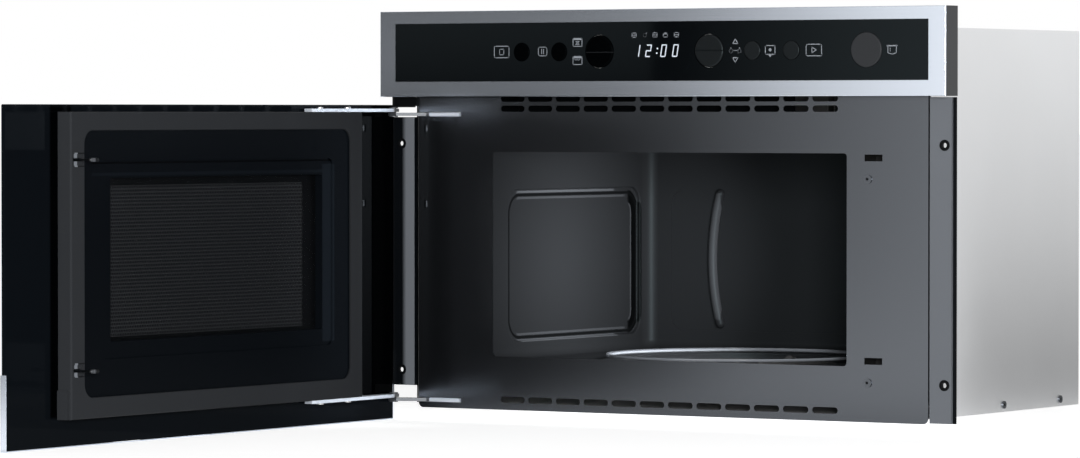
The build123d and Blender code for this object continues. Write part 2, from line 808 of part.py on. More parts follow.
with BuildPart() as oven_lamp:
    with BuildSketch(side_at(190)):
        with Locations((y_at(68), 200)):
            Circle(8.5)
    extrude(amount=18)
    fillet(oven_lamp.faces().sort_by(Axis.X)[0].edges(), radius=6)
    with BuildSketch(side_at(208)):
        with Locations((y_at(68), 200)):
            Circle(10)
    extrude(amount=20)
save(oven_lamp, "oven_lamp")

heater_end = 108.0
heater_far = -112.0
heater_near = 72.0
heater_path = FilletPolyline(
    (heater_end, y_at(heater_depths[0])),
    (heater_far, y_at(heater_depths[0])),
    (heater_far, y_at(heater_depths[1])),
    (heater_near, y_at(heater_depths[1])),
    (heater_near, y_at(heater_depths[2])),
    (heater_far, y_at(heater_depths[2])),
    (heater_far, y_at(heater_depths[3])),
    (heater_end, y_at(heater_depths[3])),
    radius=18,
)
with BuildPart() as grill_heater:
    start = (heater_end, y_at(heater_depths[0]), heater_height)
    with BuildSketch(Plane(origin=start, x_dir=(0, 1, 0), z_dir=(-1, 0, 0))):
        Circle(3.3)
    sweep(path=Plane.XY.offset(heater_height) * heater_path)
    with BuildSketch(side_at(grill_middle[0] + grill_width / 2 + cavity_wall)):
        with Locations(*[(y_at(depth), heater_height) for depth in heater_outlets]):
            Circle(5.6)
            Circle(3.2, mode=Mode.SUBTRACT)
    extrude(amount=6)
save(grill_heater, "grill_heater")

with BuildPart() as grill_reflector:
    with BuildSketch(Plane.XY.offset(grill_top - 2)):
        with Locations(grill_middle):
            RectangleRounded(grill_width - 10, grill_length - 10, 12)
    extrude(amount=2)
    with BuildSketch(Plane.XY.offset(grill_top - 2)):
        with Locations(grill_middle):
            RectangleRounded(grill_width - 12, grill_length - 12, 11)
    extrude(amount=1.2, mode=Mode.SUBTRACT)
save(grill_reflector, "grill_reflector")

# Exhaust duct behind the upper vents of the face, open where the air comes from the magnetron
duct_half_width = 184.0
duct_bottom = 269.0
duct_top = 290.0
duct_back = 62.0
duct_wall = 1.0
duct_inlet_width = 66.0
with BuildPart() as air_duct:
    with BuildSketch(face_at(plate_depth + sheet)):
        with Locations((0, (duct_top + duct_bottom) / 2)):
            Rectangle(2 * duct_half_width, duct_top - duct_bottom)
    extrude(amount=-(duct_back - plate_depth - sheet))
    with BuildSketch(face_at(plate_depth)):
        with Locations((0, (duct_top + duct_bottom) / 2)):
            Rectangle(2 * (duct_half_width - duct_wall), duct_top - duct_bottom - 2 * duct_wall)
    extrude(amount=-(duct_back - plate_depth - duct_wall), mode=Mode.SUBTRACT)
    with BuildSketch(face_at(duct_back - 2 * duct_wall)):
        with Locations((fan_x, (duct_top + duct_bottom) / 2)):
            Rectangle(duct_inlet_width, duct_top - duct_bottom - 5 * duct_wall)
    extrude(amount=-4, mode=Mode.SUBTRACT)
save(air_duct, "air_duct")

# Supply board, standing on posts from the left side of the casing
board_x = -262.0
board_side = body_half_width - sheet
with BuildPart() as power_board:
    with Locations((board_x, y_at(160), 160)):
        Box(1.6, 140, 120)
    with Locations((-(board_side - board_x) / 2, y_at(160), 160)):
        with Locations(*[(0, y, z) for y in (-64, 64) for z in (-54, 54)]):
            Cylinder(2.5, board_side + board_x, rotation=(0, 90, 0))
    with Locations(*[(board_x + 10.2, y_at(120), z) for z in (130, 155, 180)]):
        Box(19, 24, 18)
    with Locations((board_x + 15.2, y_at(190), 140)):
        Cylinder(16, 29, rotation=(0, 90, 0))
    with Locations((board_x + 11.2, y_at(195), 185)):
        Box(21, 18, 26)
save(power_board, "power_board")

# Turntable and its drive

motor_top = well_floor - cavity_wall
with BuildPart() as turntable_motor:
    with BuildSketch(Plane.XY.offset(8)):
        with Locations(well_centre):
            Circle(24.5)
    extrude(amount=motor_top - 8)
    with BuildSketch(Plane.XY.offset(motor_top - 1.5)):
        with Locations(well_centre):
            SlotCenterToCenter(62, 12)
    extrude(amount=1.5)
    with BuildSketch(Plane.XY.offset(12)):
        with Locations(well_centre):
            Circle(3.55)
    extrude(amount=20, mode=Mode.SUBTRACT)
save(turntable_motor, "turntable_motor")

coupler_bottom = well_floor + 0.5
coupler_top = 40.8
with BuildPart() as drive_coupler:
    with BuildSketch(Plane.XY.offset(12.5)):
        with Locations(well_centre):
            Circle(3.5)
    extrude(amount=20)
    with BuildSketch(Plane.XY.offset(coupler_bottom)):
        with Locations(well_centre):
            Circle(11)
    extrude(amount=coupler_top - coupler_bottom)
    with BuildSketch(Plane.XY.offset(34)):
        with Locations(well_centre):
            for arm in range(3):
                with Locations(Location((0, 0), 120 * arm)):
                    with Locations((10, 0)):
                        Rectangle(20, 6)
    extrude(amount=coupler_top - 34)
save(drive_coupler, "drive_coupler")

plate_radius = 122.5
plate_underside = 41.6
with BuildPart() as glass_turntable:
    with BuildSketch(Plane(origin=(*well_centre, 0), x_dir=(1, 0, 0), z_dir=(0, -1, 0))):
        with BuildLine():
            Polyline(
                (0, plate_underside),
                (106, plate_underside),
                (114, plate_underside + 0.8),
                (plate_radius - 1, plate_underside + 3.2),
                (plate_radius, plate_underside + 4.4),
                (plate_radius, plate_underside + 5.6),
                (plate_radius - 2.5, plate_underside + 5.6),
                (113, plate_underside + 4.4),
                (105, plate_underside + 3.8),
                (0, plate_underside + 3.8),
                close=True,
            )
        make_face()
    revolve(axis=Axis((*well_centre, 0), (0, 0, 1)))
    for lug in range(3):
        turn = radians(60 + 120 * lug)
        with Locations((17 * cos(turn), well_centre[1] + 17 * sin(turn), 39.6)):
            Cylinder(3, 4)
save(glass_turntable, "glass_turntable")

wheel_track = 101.0
wheel_radius = 6.0
wheel_height = well_floor + 0.3 + wheel_radius
axle_radius = 1.6
with BuildPart() as roller_ring:
    with BuildSketch(Plane.XY.offset(wheel_height - 2.8)):
        with Locations(well_centre):
            Circle(92)
            Circle(85, mode=Mode.SUBTRACT)
    extrude(amount=5.6)
    for wheel in range(3):
        turn = radians(90 + 120 * wheel)
        outward = (cos(turn), sin(turn), 0)
        root = (90 * cos(turn), well_centre[1] + 90 * sin(turn), wheel_height)
        with BuildSketch(Plane(origin=root, x_dir=(0, 0, 1), z_dir=outward)):
            Circle(axle_radius)
        extrude(amount=18)
        tip = (105.4 * cos(turn), well_centre[1] + 105.4 * sin(turn), wheel_height)
        with BuildSketch(Plane(origin=tip, x_dir=(0, 0, 1), z_dir=outward)):
            Circle(2.8)
        extrude(amount=2.6)
save(roller_ring, "roller_ring")

for wheel in range(3):
    turn = radians(90 + 120 * wheel)
    outward = (cos(turn), sin(turn), 0)
    inner = (98 * cos(turn), well_centre[1] + 98 * sin(turn), wheel_height)
    with BuildPart() as roller:
        with BuildSketch(Plane(origin=inner, x_dir=(0, 0, 1), z_dir=outward)):
            Circle(wheel_radius)
            Circle(axle_radius + 0.06, mode=Mode.SUBTRACT)
        extrude(amount=6)
    save(roller, f"roller_{wheel + 1}")

# Door latch unit behind the right side of the face plate

with BuildPart() as latch_bracket:
    with Locations((216.25, y_at(36.4), 134)):
        Box(31.5, 27, 224)
    with Locations((208.9, y_at(34), 275), (229.1, y_at(34), 275)):
        Box(3.4, 14, 64)
    with Locations(*[(latch_slot_x, y_at(34), z) for z in latch_heights]):
        Box(22, 26, 8, mode=Mode.SUBTRACT)
    with Locations((door_button_place, y_at(36.4), 243)):
        Box(13, 28, 16, mode=Mode.SUBTRACT)
    with Locations(*[(latch_slot_x, y_at(38), z) for z in (90, 150, 195)]):
        Box(20, 30, 30, mode=Mode.SUBTRACT)
    with BuildSketch(side_at(200)):
        with Locations((y_at(lever_pivot_depth), lever_pivot_z)):
            Circle(2.06)
    extrude(amount=40, mode=Mode.SUBTRACT)
    with BuildSketch(face_at(plate_depth)):
        with Locations((208.5, 212), (208.5, 30.5)):
            Circle(screw_radius + 0.05)
    extrude(amount=-11, mode=Mode.SUBTRACT)
save(latch_bracket, "latch_bracket")

with BuildPart() as interlock_switches:
    with Locations((237.3, y_at(40), 56), (237.3, y_at(40), 200), (237.3, y_at(40), 222)):
        Box(10, 28, 16)
save(interlock_switches, "interlock_switches")

# Hinge brackets on the body, with their pins

bracket_tops = {"hinge_bracket_lower": 4.3, "hinge_bracket_upper": 271.3}
for name, top in bracket_tops.items():
    leaf_low = top if name == "hinge_bracket_lower" else top - 26
    with BuildPart() as hinge_bracket:
        with BuildSketch(Plane.XY.offset(top - hinge_plate)):
            with BuildLine():
                Polyline(
                    (pivot_x, y_at(pivot_depth - pivot_radius)),
                    (-284, y_at(pivot_depth - pivot_radius)),
                    (-260, y_at(21.2)),
                    (-223, y_at(21.2)),
                    (-223, y_at(60)),
                    (-262, y_at(60)),
                    (-266, y_at(30)),
                    (-268, y_at(22.4)),
                    (-280, y_at(22.4)),
                    (pivot_x, y_at(pivot_depth + pivot_radius)),
                    close=True,
                )
            make_face()
            with Locations((pivot_x, pivot_y)):
                Circle(pivot_radius)
                Circle(2.52, mode=Mode.SUBTRACT)
        extrude(amount=hinge_plate)
        with Locations((-244, y_at(24.4), leaf_low + 13)):
            Box(36, 3, 26)
    save(hinge_bracket, name)

with BuildPart() as hinge_pins:
    for arm_bottom, arm_top, bracket_bottom in ((5.0, 8.0, 1.3), (272.0, 275.0, 268.3)):
        with BuildSketch(Plane.XY.offset(bracket_bottom - 1)):
            with Locations((pivot_x, pivot_y)):
                Circle(4)
        extrude(amount=1)
        with BuildSketch(Plane.XY.offset(bracket_bottom)):
            with Locations((pivot_x, pivot_y)):
                Circle(2.5)
        extrude(amount=arm_top + 0.3 - bracket_bottom)
        with BuildSketch(Plane.XY.offset(arm_top + 0.3)):
            with Locations((pivot_x, pivot_y)):
                Circle(4)
        extrude(amount=1)
save(hinge_pins, "hinge_pins")

# Door

glass_inset = 1.3
with BuildPart() as door_glass:
    with BuildSketch(door_face(glass_back)):
        with Locations((0, (door_top + door_bottom) / 2)):
            RectangleRounded(overall_width, door_top - door_bottom, 1.5)
        for side in (-1, 1):
            with Locations((side * overall_width / 2, (band_top + door_bottom) / 2)):
                Rectangle(2 * glass_inset, band_top - door_bottom, mode=Mode.SUBTRACT)
        with Locations((0, door_bottom)):
            Rectangle(overall_width, 2 * glass_inset, mode=Mode.SUBTRACT)
    extrude(amount=glass_back - glass_front)
save(door_glass, "door_glass")

with BuildPart() as door_band:
    with BuildSketch(door_face(glass_back)):
        with Locations((0, (band_top + door_bottom) / 2)):
            Rectangle(overall_width, band_top - door_bottom)
    extrude(amount=glass_back)
    fillet(door_band.faces().sort_by(Axis.X)[0].edges(), radius=0.5)
    with BuildSketch(door_face(glass_back)):
        with Locations((0, (band_top + door_bottom) / 2 + 1)):
            Rectangle(overall_width - 2, band_top - door_bottom)
    extrude(amount=glass_back - 1, mode=Mode.SUBTRACT)
    with BuildSketch(door_face(glass_front)):
        with Locations((0, band_top - 0.5)):
            Rectangle(overall_width - 2, 1)
    extrude(amount=1)
save(door_band, "door_band")

pan_half_width = 221.5
pan_bottom = 10.5
pan_top = 269.5
mesh_bottom = 76.5
mesh_top = 208.0
mesh_half_width = 147.0
mesh_middle = (5.0, (mesh_top + mesh_bottom) / 2)
arm_screws_x = (-210.0, -165.0)
stud_heights = (100.0, 180.0)
with BuildPart() as door_body:
    with BuildSketch(door_face(glass_back)):
        with Locations((0, choke_middle)):
            Rectangle(2 * pan_half_width, pan_top - pan_bottom)
        with Locations(mesh_middle):
            Rectangle(2 * mesh_half_width, mesh_top - mesh_bottom, mode=Mode.SUBTRACT)
    extrude(amount=-sheet)
    with BuildSketch(door_face(glass_back)):
        with Locations((0, choke_middle)):
            Rectangle(2 * pan_half_width, pan_top - pan_bottom)
            Rectangle(2 * (pan_half_width - sheet), pan_top - pan_bottom - 2 * sheet, mode=Mode.SUBTRACT)
    extrude(amount=-10)
    with BuildSketch(door_face(glass_back + sheet)):
        with Locations(*[(207, z) for z in stud_heights]):
            Circle(2)
    extrude(amount=-4.5)
    with BuildSketch(door_plan(pan_bottom - 1)):
        with Locations(*[(x, 13) for x in arm_screws_x]):
            Circle(1.8)
    extrude(amount=pan_top - pan_bottom + 2, mode=Mode.SUBTRACT)
save(door_body, "door_body")

screen_front = 8.5
with BuildPart() as window_screen:
    with BuildSketch(door_face(screen_front)):
        with Locations(mesh_middle):
            Rectangle(2 * mesh_half_width + 8, mesh_top - mesh_bottom + 8)
    extrude(amount=screen_front - glass_back - sheet)
    with BuildSketch(door_face(screen_front - 0.6)):
        with Locations(mesh_middle):
            Rectangle(2 * mesh_half_width + 6.8, mesh_top - mesh_bottom + 6.8)
    extrude(amount=5, mode=Mode.SUBTRACT)
save(window_screen, "window_screen")

with BuildPart() as window_film:
    with BuildSketch(door_face(screen_front + 0.3)):
        with Locations((0, 143.85)):
            Rectangle(328, 150)
    extrude(amount=0.25)
save(window_film, "window_film")

window_half_width = 163.0
window_bottom = 73.0
window_top = 214.7
window_middle = (window_top + window_bottom) / 2
rim_bottom = 26.0
rim_top = 256.0
rim_half_width = 204.6
step_bottom = 58.0
step_top = 230.0
step_half_width = 178.0
rim_depth = 18.1
step_depth = 16.6
cover_wall = 2.0
hook_slot_x = 214.3
hook_thickness = 1.4
with BuildPart() as choke_frame:
    with BuildSketch(door_face(glass_back + 0.3)):
        with Locations((0, choke_middle)):
            Rectangle(2 * choke_half_width, choke_top - choke_bottom)
    extrude(amount=-(choke_front - glass_back - 0.3))
    front_edges = choke_frame.faces().sort_by(Axis.X)[-1].edges()
    fillet(front_edges, radius=1.7)
    with BuildSketch(door_face(choke_front)):
        with Locations((0, (rim_top + rim_bottom) / 2)):
            RectangleRounded(2 * rim_half_width, rim_top - rim_bottom, 12)
    extrude(amount=choke_front - rim_depth, mode=Mode.SUBTRACT)
    with BuildSketch(door_face(rim_depth)):
        with Locations((0, (step_top + step_bottom) / 2)):
            RectangleRounded(2 * step_half_width, step_top - step_bottom, 8)
    extrude(amount=rim_depth - step_depth, mode=Mode.SUBTRACT)
    face_edges = choke_frame.edges().group_by(Axis.X)[-1]
    fillet(face_edges.filter_by_position(Axis.Z, rim_bottom - 0.1, rim_top + 0.1), radius=1.0)
    with BuildSketch(door_face(choke_front)):
        with Locations((0, window_middle)):
            RectangleRounded(2 * window_half_width, window_top - window_bottom, 2)
    extrude(amount=choke_front, mode=Mode.SUBTRACT)
    with BuildSketch(door_face(step_depth - cover_wall)):
        with Locations((0, choke_middle)):
            Rectangle(2 * choke_half_width - 3, choke_top - choke_bottom - 3)
    extrude(amount=10, mode=Mode.SUBTRACT)
    with BuildSketch(door_face(rim_depth - cover_wall)):
        with Locations((0, choke_middle)):
            Rectangle(2 * choke_half_width - 3, choke_top - choke_bottom - 3)
        with Locations((0, (step_top + step_bottom) / 2)):
            step_back = (2 * (step_half_width + cover_wall), step_top - step_bottom + 2 * cover_wall)
            Rectangle(*step_back, mode=Mode.SUBTRACT)
    extrude(amount=2, mode=Mode.SUBTRACT)
    with BuildSketch(door_face(choke_front - cover_wall)):
        with Locations((0, choke_middle)):
            Rectangle(2 * choke_half_width - 3, choke_top - choke_bottom - 3)
        with Locations((0, (rim_top + rim_bottom) / 2)):
            rim_back = (2 * (rim_half_width + cover_wall), rim_top - rim_bottom + 2 * cover_wall)
            Rectangle(*rim_back, mode=Mode.SUBTRACT)
    extrude(amount=4, mode=Mode.SUBTRACT)
    with BuildSketch(door_face(step_depth - cover_wall)):
        with Locations((0, window_middle)):
            Rectangle(2 * window_half_width + 3, window_top - window_bottom + 3)
            RectangleRounded(2 * window_half_width, window_top - window_bottom, 2, mode=Mode.SUBTRACT)
    extrude(amount=step_depth - cover_wall - screen_front - 0.6)
    with BuildSketch(door_face(choke_front)):
        with Locations(*[(hook_slot_x, z) for z in latch_heights]):
            RectangleRounded(14, 10, 1.5)
    extrude(amount=0.7, mode=Mode.SUBTRACT)
    with BuildSketch(door_face(choke_front + 1)):
        with Locations(*[(hook_slot_x, z) for z in latch_heights]):
            Rectangle(14, hook_thickness + 1.6)
    extrude(amount=8, mode=Mode.SUBTRACT)
    with BuildSketch(door_plan(choke_bottom - 1)):
        with Locations(*[(x, 13) for x in arm_screws_x]):
            Circle(1.8)
    extrude(amount=choke_top - choke_bottom + 2, mode=Mode.SUBTRACT)
    with BuildSketch(door_plan(choke_bottom)):
        with Locations((choke_half_width + 0.5, 12)):
            Rectangle(3, 11)
    extrude(amount=25)
save(choke_frame, "choke_frame")

hook_centre = 215.5
with BuildPart() as latch_bar:
    with BuildSketch(door_face(9)):
        with Locations((209, 141)):
            Rectangle(22, 206)
        with Locations(*[(208.5, z) for z in stud_heights]):
            SlotOverall(7.6, 4.4, mode=Mode.SUBTRACT)
    extrude(amount=-1.5)
    for height in latch_heights:
        with BuildSketch(door_plan(height - hook_thickness / 2)):
            with BuildLine():
                Polyline(
                    (hook_centre - 4.5, 9),
                    (hook_centre + 4.5, 9),
                    (hook_centre + 4.5, 37),
                    (hook_centre + 1, 40.5),
                    (hook_centre - 4.5, 40.5),
                    (hook_centre - 4.5, 35),
                    (hook_centre - 2.5, 32),
                    (hook_centre - 4.5, 30),
                    close=True,
                )
            make_face()
        extrude(amount=hook_thickness)
        with BuildSketch(door_plan(height - 1.6)):
            with Locations((hook_centre - 0.9, 37.7)):
                RectangleRounded(7, 5.4, 1)
        extrude(amount=3.2)
save(latch_bar, "latch_bar")

spring_turns = 9
spring_length = 30.0
spring_radius = 2.6
wire_radius = 0.35
spring_plane = Plane(origin=door_face(10.2).from_local_coords((197, 140, 0)), z_dir=(0, 1, 0))
coil = Helix(spring_length / spring_turns, spring_length, spring_radius)
wire_section = Plane(origin=coil @ 0, z_dir=coil % 0) * Circle(wire_radius)
coil_wire = sweep(wire_section, path=coil, is_frenet=True)
with BuildPart() as latch_spring:
    add(spring_plane * coil_wire)
save(latch_spring, "latch_spring")

for name, low in (("hinge_arm_lower", 5.0), ("hinge_arm_upper", 272.0)):
    with BuildPart() as hinge_arm:
        with BuildSketch(door_plan(low)):
            with BuildLine():
                Polyline(
                    (pivot_x, pivot_depth - pivot_radius),
                    (-151, 6.5),
                    (-146, 9),
                    (-146, 17),
                    (-150, 19.3),
                    (-277, 19.3),
                    (pivot_x, pivot_depth + pivot_radius),
                    close=True,
                )
            make_face()
            with Locations((pivot_x, pivot_depth)):
                Circle(pivot_radius)
                Circle(2.56, mode=Mode.SUBTRACT)
            with Locations(*[(x, 13) for x in arm_screws_x]):
                Circle(1.8, mode=Mode.SUBTRACT)
        extrude(amount=hinge_plate)
    save(hinge_arm, name)

with BuildPart() as door_screws:
    for surface, way in ((275.0, -1), (5.0, 1)):
        with BuildSketch(door_plan(surface)):
            with Locations(*[(x, 13) for x in arm_screws_x]):
                Circle(3.2)
                RegularPolygon(socket_radius, 6, mode=Mode.SUBTRACT)
        extrude(amount=-way * 1.4)
        with BuildSketch(door_plan(surface)):
            with Locations(*[(x, 13) for x in arm_screws_x]):
                Circle(screw_radius)
        extrude(amount=way * 10)
save(door_screws, "door_screws")

print("roller turns for one turn of the plate", wheel_track / (2 * wheel_radius))
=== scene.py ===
import math

import bmesh
import bpy
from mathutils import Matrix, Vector


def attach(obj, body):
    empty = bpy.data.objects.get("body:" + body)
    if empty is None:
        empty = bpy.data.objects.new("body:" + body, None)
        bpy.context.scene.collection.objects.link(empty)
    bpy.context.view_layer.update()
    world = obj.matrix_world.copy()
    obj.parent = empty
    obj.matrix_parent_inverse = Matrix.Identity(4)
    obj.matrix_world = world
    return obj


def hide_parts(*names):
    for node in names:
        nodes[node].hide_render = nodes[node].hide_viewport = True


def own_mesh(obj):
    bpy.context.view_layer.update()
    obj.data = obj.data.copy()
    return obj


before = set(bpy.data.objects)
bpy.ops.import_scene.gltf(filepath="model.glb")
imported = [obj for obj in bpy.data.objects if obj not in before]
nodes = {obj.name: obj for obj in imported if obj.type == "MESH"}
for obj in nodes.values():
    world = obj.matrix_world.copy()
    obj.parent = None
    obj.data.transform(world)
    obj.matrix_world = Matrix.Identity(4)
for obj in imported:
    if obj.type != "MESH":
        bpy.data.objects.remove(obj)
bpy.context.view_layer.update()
print("frame loaded:", len(nodes), "nodes")

mm = 0.001
panelFront = -170.0  # Y of the control panel's front, in millimetres
doorPlane = -301.5  # X of the open door's outer face
doorMiddle = -448.5  # Y of the open door's middle


def onDoor(across, depth, height):  # a place on the open door, from its closed-door place in millimetres
    return Vector(((doorPlane + depth) * mm, (doorMiddle - across) * mm, height * mm))


def newGroup(name, inputs, outputs):
    group = bpy.data.node_groups.new(name, "ShaderNodeTree")
    for label, kind, value in inputs:
        socket = group.interface.new_socket(name=label, in_out="INPUT", socket_type=kind)
        socket.default_value = value
    for label, kind in outputs:
        group.interface.new_socket(name=label, in_out="OUTPUT", socket_type=kind)
    entry = group.nodes.new("NodeGroupInput")
    leave = group.nodes.new("NodeGroupOutput")
    return group, entry, leave


def placeGroup(tree, group, values):
    node = tree.nodes.new("ShaderNodeGroup")
    node.node_tree = group
    for label, value in values.items():
        node.inputs[label].default_value = value
    return node


def feed(tree, value, socket):  # a link from another node's output, or a plain value
    if isinstance(value, bpy.types.NodeSocket):
        tree.links.new(value, socket)
    else:
        socket.default_value = value


def mathNode(tree, operation, *values):
    node = tree.nodes.new("ShaderNodeMath")
    node.operation = operation
    for value, socket in zip(values, node.inputs):
        feed(tree, value, socket)
    return node.outputs[0]


def vectorNode(tree, operation, *values):
    node = tree.nodes.new("ShaderNodeVectorMath")
    node.operation = operation
    for value, socket in zip(values, node.inputs):
        feed(tree, value, socket)
    return node.outputs


def rampNode(tree, value, start, end, low=0.0, high=1.0):  # low at the start, high at the end
    node = tree.nodes.new("ShaderNodeMapRange")
    labels = {"Value": value, "From Min": start, "From Max": end, "To Min": low, "To Max": high}
    for label, part in labels.items():
        feed(tree, part, node.inputs[label])
    return node.outputs["Result"]


def noiseNode(tree, vector, scale, detail):
    node = tree.nodes.new("ShaderNodeTexNoise")
    feed(tree, vector, node.inputs["Vector"])
    feed(tree, scale, node.inputs["Scale"])
    node.inputs["Detail"].default_value = detail
    return node.outputs["Fac"]


def mixColor(tree, factor, first, second):
    node = tree.nodes.new("ShaderNodeMix")
    node.data_type = "RGBA"
    factorSocket, firstSocket, secondSocket = node.inputs[0], node.inputs[6], node.inputs[7]
    feed(tree, factor, factorSocket)
    feed(tree, first, firstSocket)
    feed(tree, second, secondSocket)
    return node.outputs[2]


def splitVector(tree, vector):
    node = tree.nodes.new("ShaderNodeSeparateXYZ")
    tree.links.new(vector, node.inputs[0])
    return node.outputs


def objectPlace(tree):  # where a point lies on the object at rest, in metres
    return tree.nodes.new("ShaderNodeTexCoord").outputs["Object"]


# Colour drift, roughness drift and fine relief, which every finish here takes with its own values
surfaceDrift, driftIn, driftOut = newGroup(
    "surfaceDrift",
    [
        ("Light Color", "NodeSocketColor", (0.5, 0.5, 0.5, 1)),
        ("Dark Color", "NodeSocketColor", (0.4, 0.4, 0.4, 1)),
        ("Stretch", "NodeSocketVector", (1, 1, 1)),
        ("Cloud Scale", "NodeSocketFloat", 12.0),
        ("Grain Scale", "NodeSocketFloat", 900.0),
        ("Grain Share", "NodeSocketFloat", 0.5),
        ("Rough Low", "NodeSocketFloat", 0.3),
        ("Rough High", "NodeSocketFloat", 0.4),
    ],
    [("Color", "NodeSocketColor"), ("Roughness", "NodeSocketFloat"), ("Height", "NodeSocketFloat")],
)


def fillSurfaceDrift(tree, entry, leave):
    stretched = vectorNode(tree, "MULTIPLY", objectPlace(tree), entry.outputs["Stretch"])[0]
    cloud = noiseNode(tree, stretched, entry.outputs["Cloud Scale"], 3.0)
    grain = noiseNode(tree, stretched, entry.outputs["Grain Scale"], 2.0)
    grainPart = mathNode(tree, "MULTIPLY", grain, entry.outputs["Grain Share"])
    rest = mathNode(tree, "SUBTRACT", 1.0, entry.outputs["Grain Share"])
    cloudPart = mathNode(tree, "MULTIPLY", cloud, rest)
    blend = mathNode(tree, "ADD", grainPart, cloudPart)
    color = mixColor(tree, blend, entry.outputs["Dark Color"], entry.outputs["Light Color"])
    span = mathNode(tree, "SUBTRACT", entry.outputs["Rough High"], entry.outputs["Rough Low"])
    rough = mathNode(tree, "ADD", mathNode(tree, "MULTIPLY", span, blend), entry.outputs["Rough Low"])
    tree.links.new(color, leave.inputs["Color"])
    tree.links.new(rough, leave.inputs["Roughness"])
    tree.links.new(grain, leave.inputs["Height"])


fillSurfaceDrift(surfaceDrift, driftIn, driftOut)

# A mask that rises along a direction, from one place to another
placeRamp, rampIn, rampOut = newGroup(
    "placeRamp",
    [
        ("Direction", "NodeSocketVector", (1, 0, 0)),
        ("Start", "NodeSocketFloat", 0.0),
        ("End", "NodeSocketFloat", 1.0),
    ],
    [("Mask", "NodeSocketFloat")],
)


def fillPlaceRamp(tree, entry, leave):
    along = vectorNode(tree, "DOT_PRODUCT", objectPlace(tree), entry.outputs["Direction"])["Value"]
    tree.links.new(rampNode(tree, along, entry.outputs["Start"], entry.outputs["End"]), leave.inputs["Mask"])


fillPlaceRamp(placeRamp, rampIn, rampOut)

# A mask that is 1 inside a box and 0 outside
boxShade, boxIn, boxOut = newGroup(
    "boxShade",
    [
        ("Low Corner", "NodeSocketVector", (0, 0, 0)),
        ("High Corner", "NodeSocketVector", (1, 1, 1)),
        ("Soft Edge", "NodeSocketFloat", 0.0002),
    ],
    [("Mask", "NodeSocketFloat")],
)


def fillBoxShade(tree, entry, leave):
    places = splitVector(tree, objectPlace(tree))
    lows = splitVector(tree, entry.outputs["Low Corner"])
    highs = splitVector(tree, entry.outputs["High Corner"])
    edge = entry.outputs["Soft Edge"]
    mask = None
    for place, low, high in zip(places, lows, highs):
        outsides = ((mathNode(tree, "SUBTRACT", low, edge), low), (mathNode(tree, "ADD", high, edge), high))
        for outside, inside in outsides:
            side = rampNode(tree, place, outside, inside)
            mask = side if mask is None else mathNode(tree, "MULTIPLY", mask, side)
    tree.links.new(mask, leave.inputs["Mask"])


fillBoxShade(boxShade, boxIn, boxOut)


def gray(level, tint=(1.0, 1.0, 1.0)):
    return tuple(level * part for part in tint) + (1.0,)


def finish(name, light, dark, rough, metallic=0.0, specular=0.5, bump=0.0, relief=0.0002, stretch=(1, 1, 1),
           cloud=12.0, grain=900.0, share=0.5, tint=None, alpha=1.0, transmission=0.0, ior=1.5):
    material = bpy.data.materials.new(name)
    material.use_nodes = True
    tree = material.node_tree
    shader = tree.nodes["Principled BSDF"]
    drift = placeGroup(tree, surfaceDrift, {
        "Light Color": light, "Dark Color": dark, "Stretch": stretch, "Cloud Scale": cloud,
        "Grain Scale": grain, "Grain Share": share, "Rough Low": rough[0], "Rough High": rough[1],
    })
    tree.links.new(drift.outputs["Color"], shader.inputs["Base Color"])
    tree.links.new(drift.outputs["Roughness"], shader.inputs["Roughness"])
    if bump:
        relieved = tree.nodes.new("ShaderNodeBump")
        relieved.inputs["Strength"].default_value = bump
        relieved.inputs["Distance"].default_value = relief
        tree.links.new(drift.outputs["Height"], relieved.inputs["Height"])
        tree.links.new(relieved.outputs["Normal"], shader.inputs["Normal"])
    shader.inputs["Metallic"].default_value = metallic
    shader.inputs["Specular IOR Level"].default_value = specular
    if tint:
        shader.inputs["Specular Tint"].default_value = tint
    shader.inputs["Alpha"].default_value = alpha
    shader.inputs["Transmission Weight"].default_value = transmission
    shader.inputs["IOR"].default_value = ior
    return material


directions = {"X": (1, 0, 0), "Y": (0, 1, 0), "Z": (0, 0, 1)}


def rampMask(material, axis, start, end):  # 0 to 1 between two places on an axis, in metres at rest
    values = {"Direction": directions[axis], "Start": start, "End": end}
    return placeGroup(material.node_tree, placeRamp, values).outputs["Mask"]


def boxMask(material, low, high, edge):  # 1 inside a box of the object at rest, 0 outside, in millimetres
    corners = {"Low Corner": [v * mm for v in low], "High Corner": [v * mm for v in high]}
    return placeGroup(material.node_tree, boxShade, {**corners, "Soft Edge": edge * mm}).outputs["Mask"]


def recolor(finishName, mask, second):  # the base colour turns to the second colour where the mask is 1
    tree = finishes[finishName].node_tree
    shader = tree.nodes["Principled BSDF"]
    first = shader.inputs["Base Color"].links[0].from_socket
    tree.links.new(mixColor(tree, mask, first, second), shader.inputs["Base Color"])


def recolorBox(finishName, low, high, color, edge=0.2):
    recolor(finishName, boxMask(finishes[finishName], low, high, edge), color)


cool = (0.92, 0.99, 1.10)  # the greys of this oven lean a little to blue
deep = (0.75, 1.0, 1.35)  # its blacks lean more
gloss = (0.74, 0.93, 1.0, 1.0)  # and so do their reflections
plain = (0.985, 0.995, 1.01)  # the casing is almost neutral
steelBrush = (3.0, 3.0, 700.0)

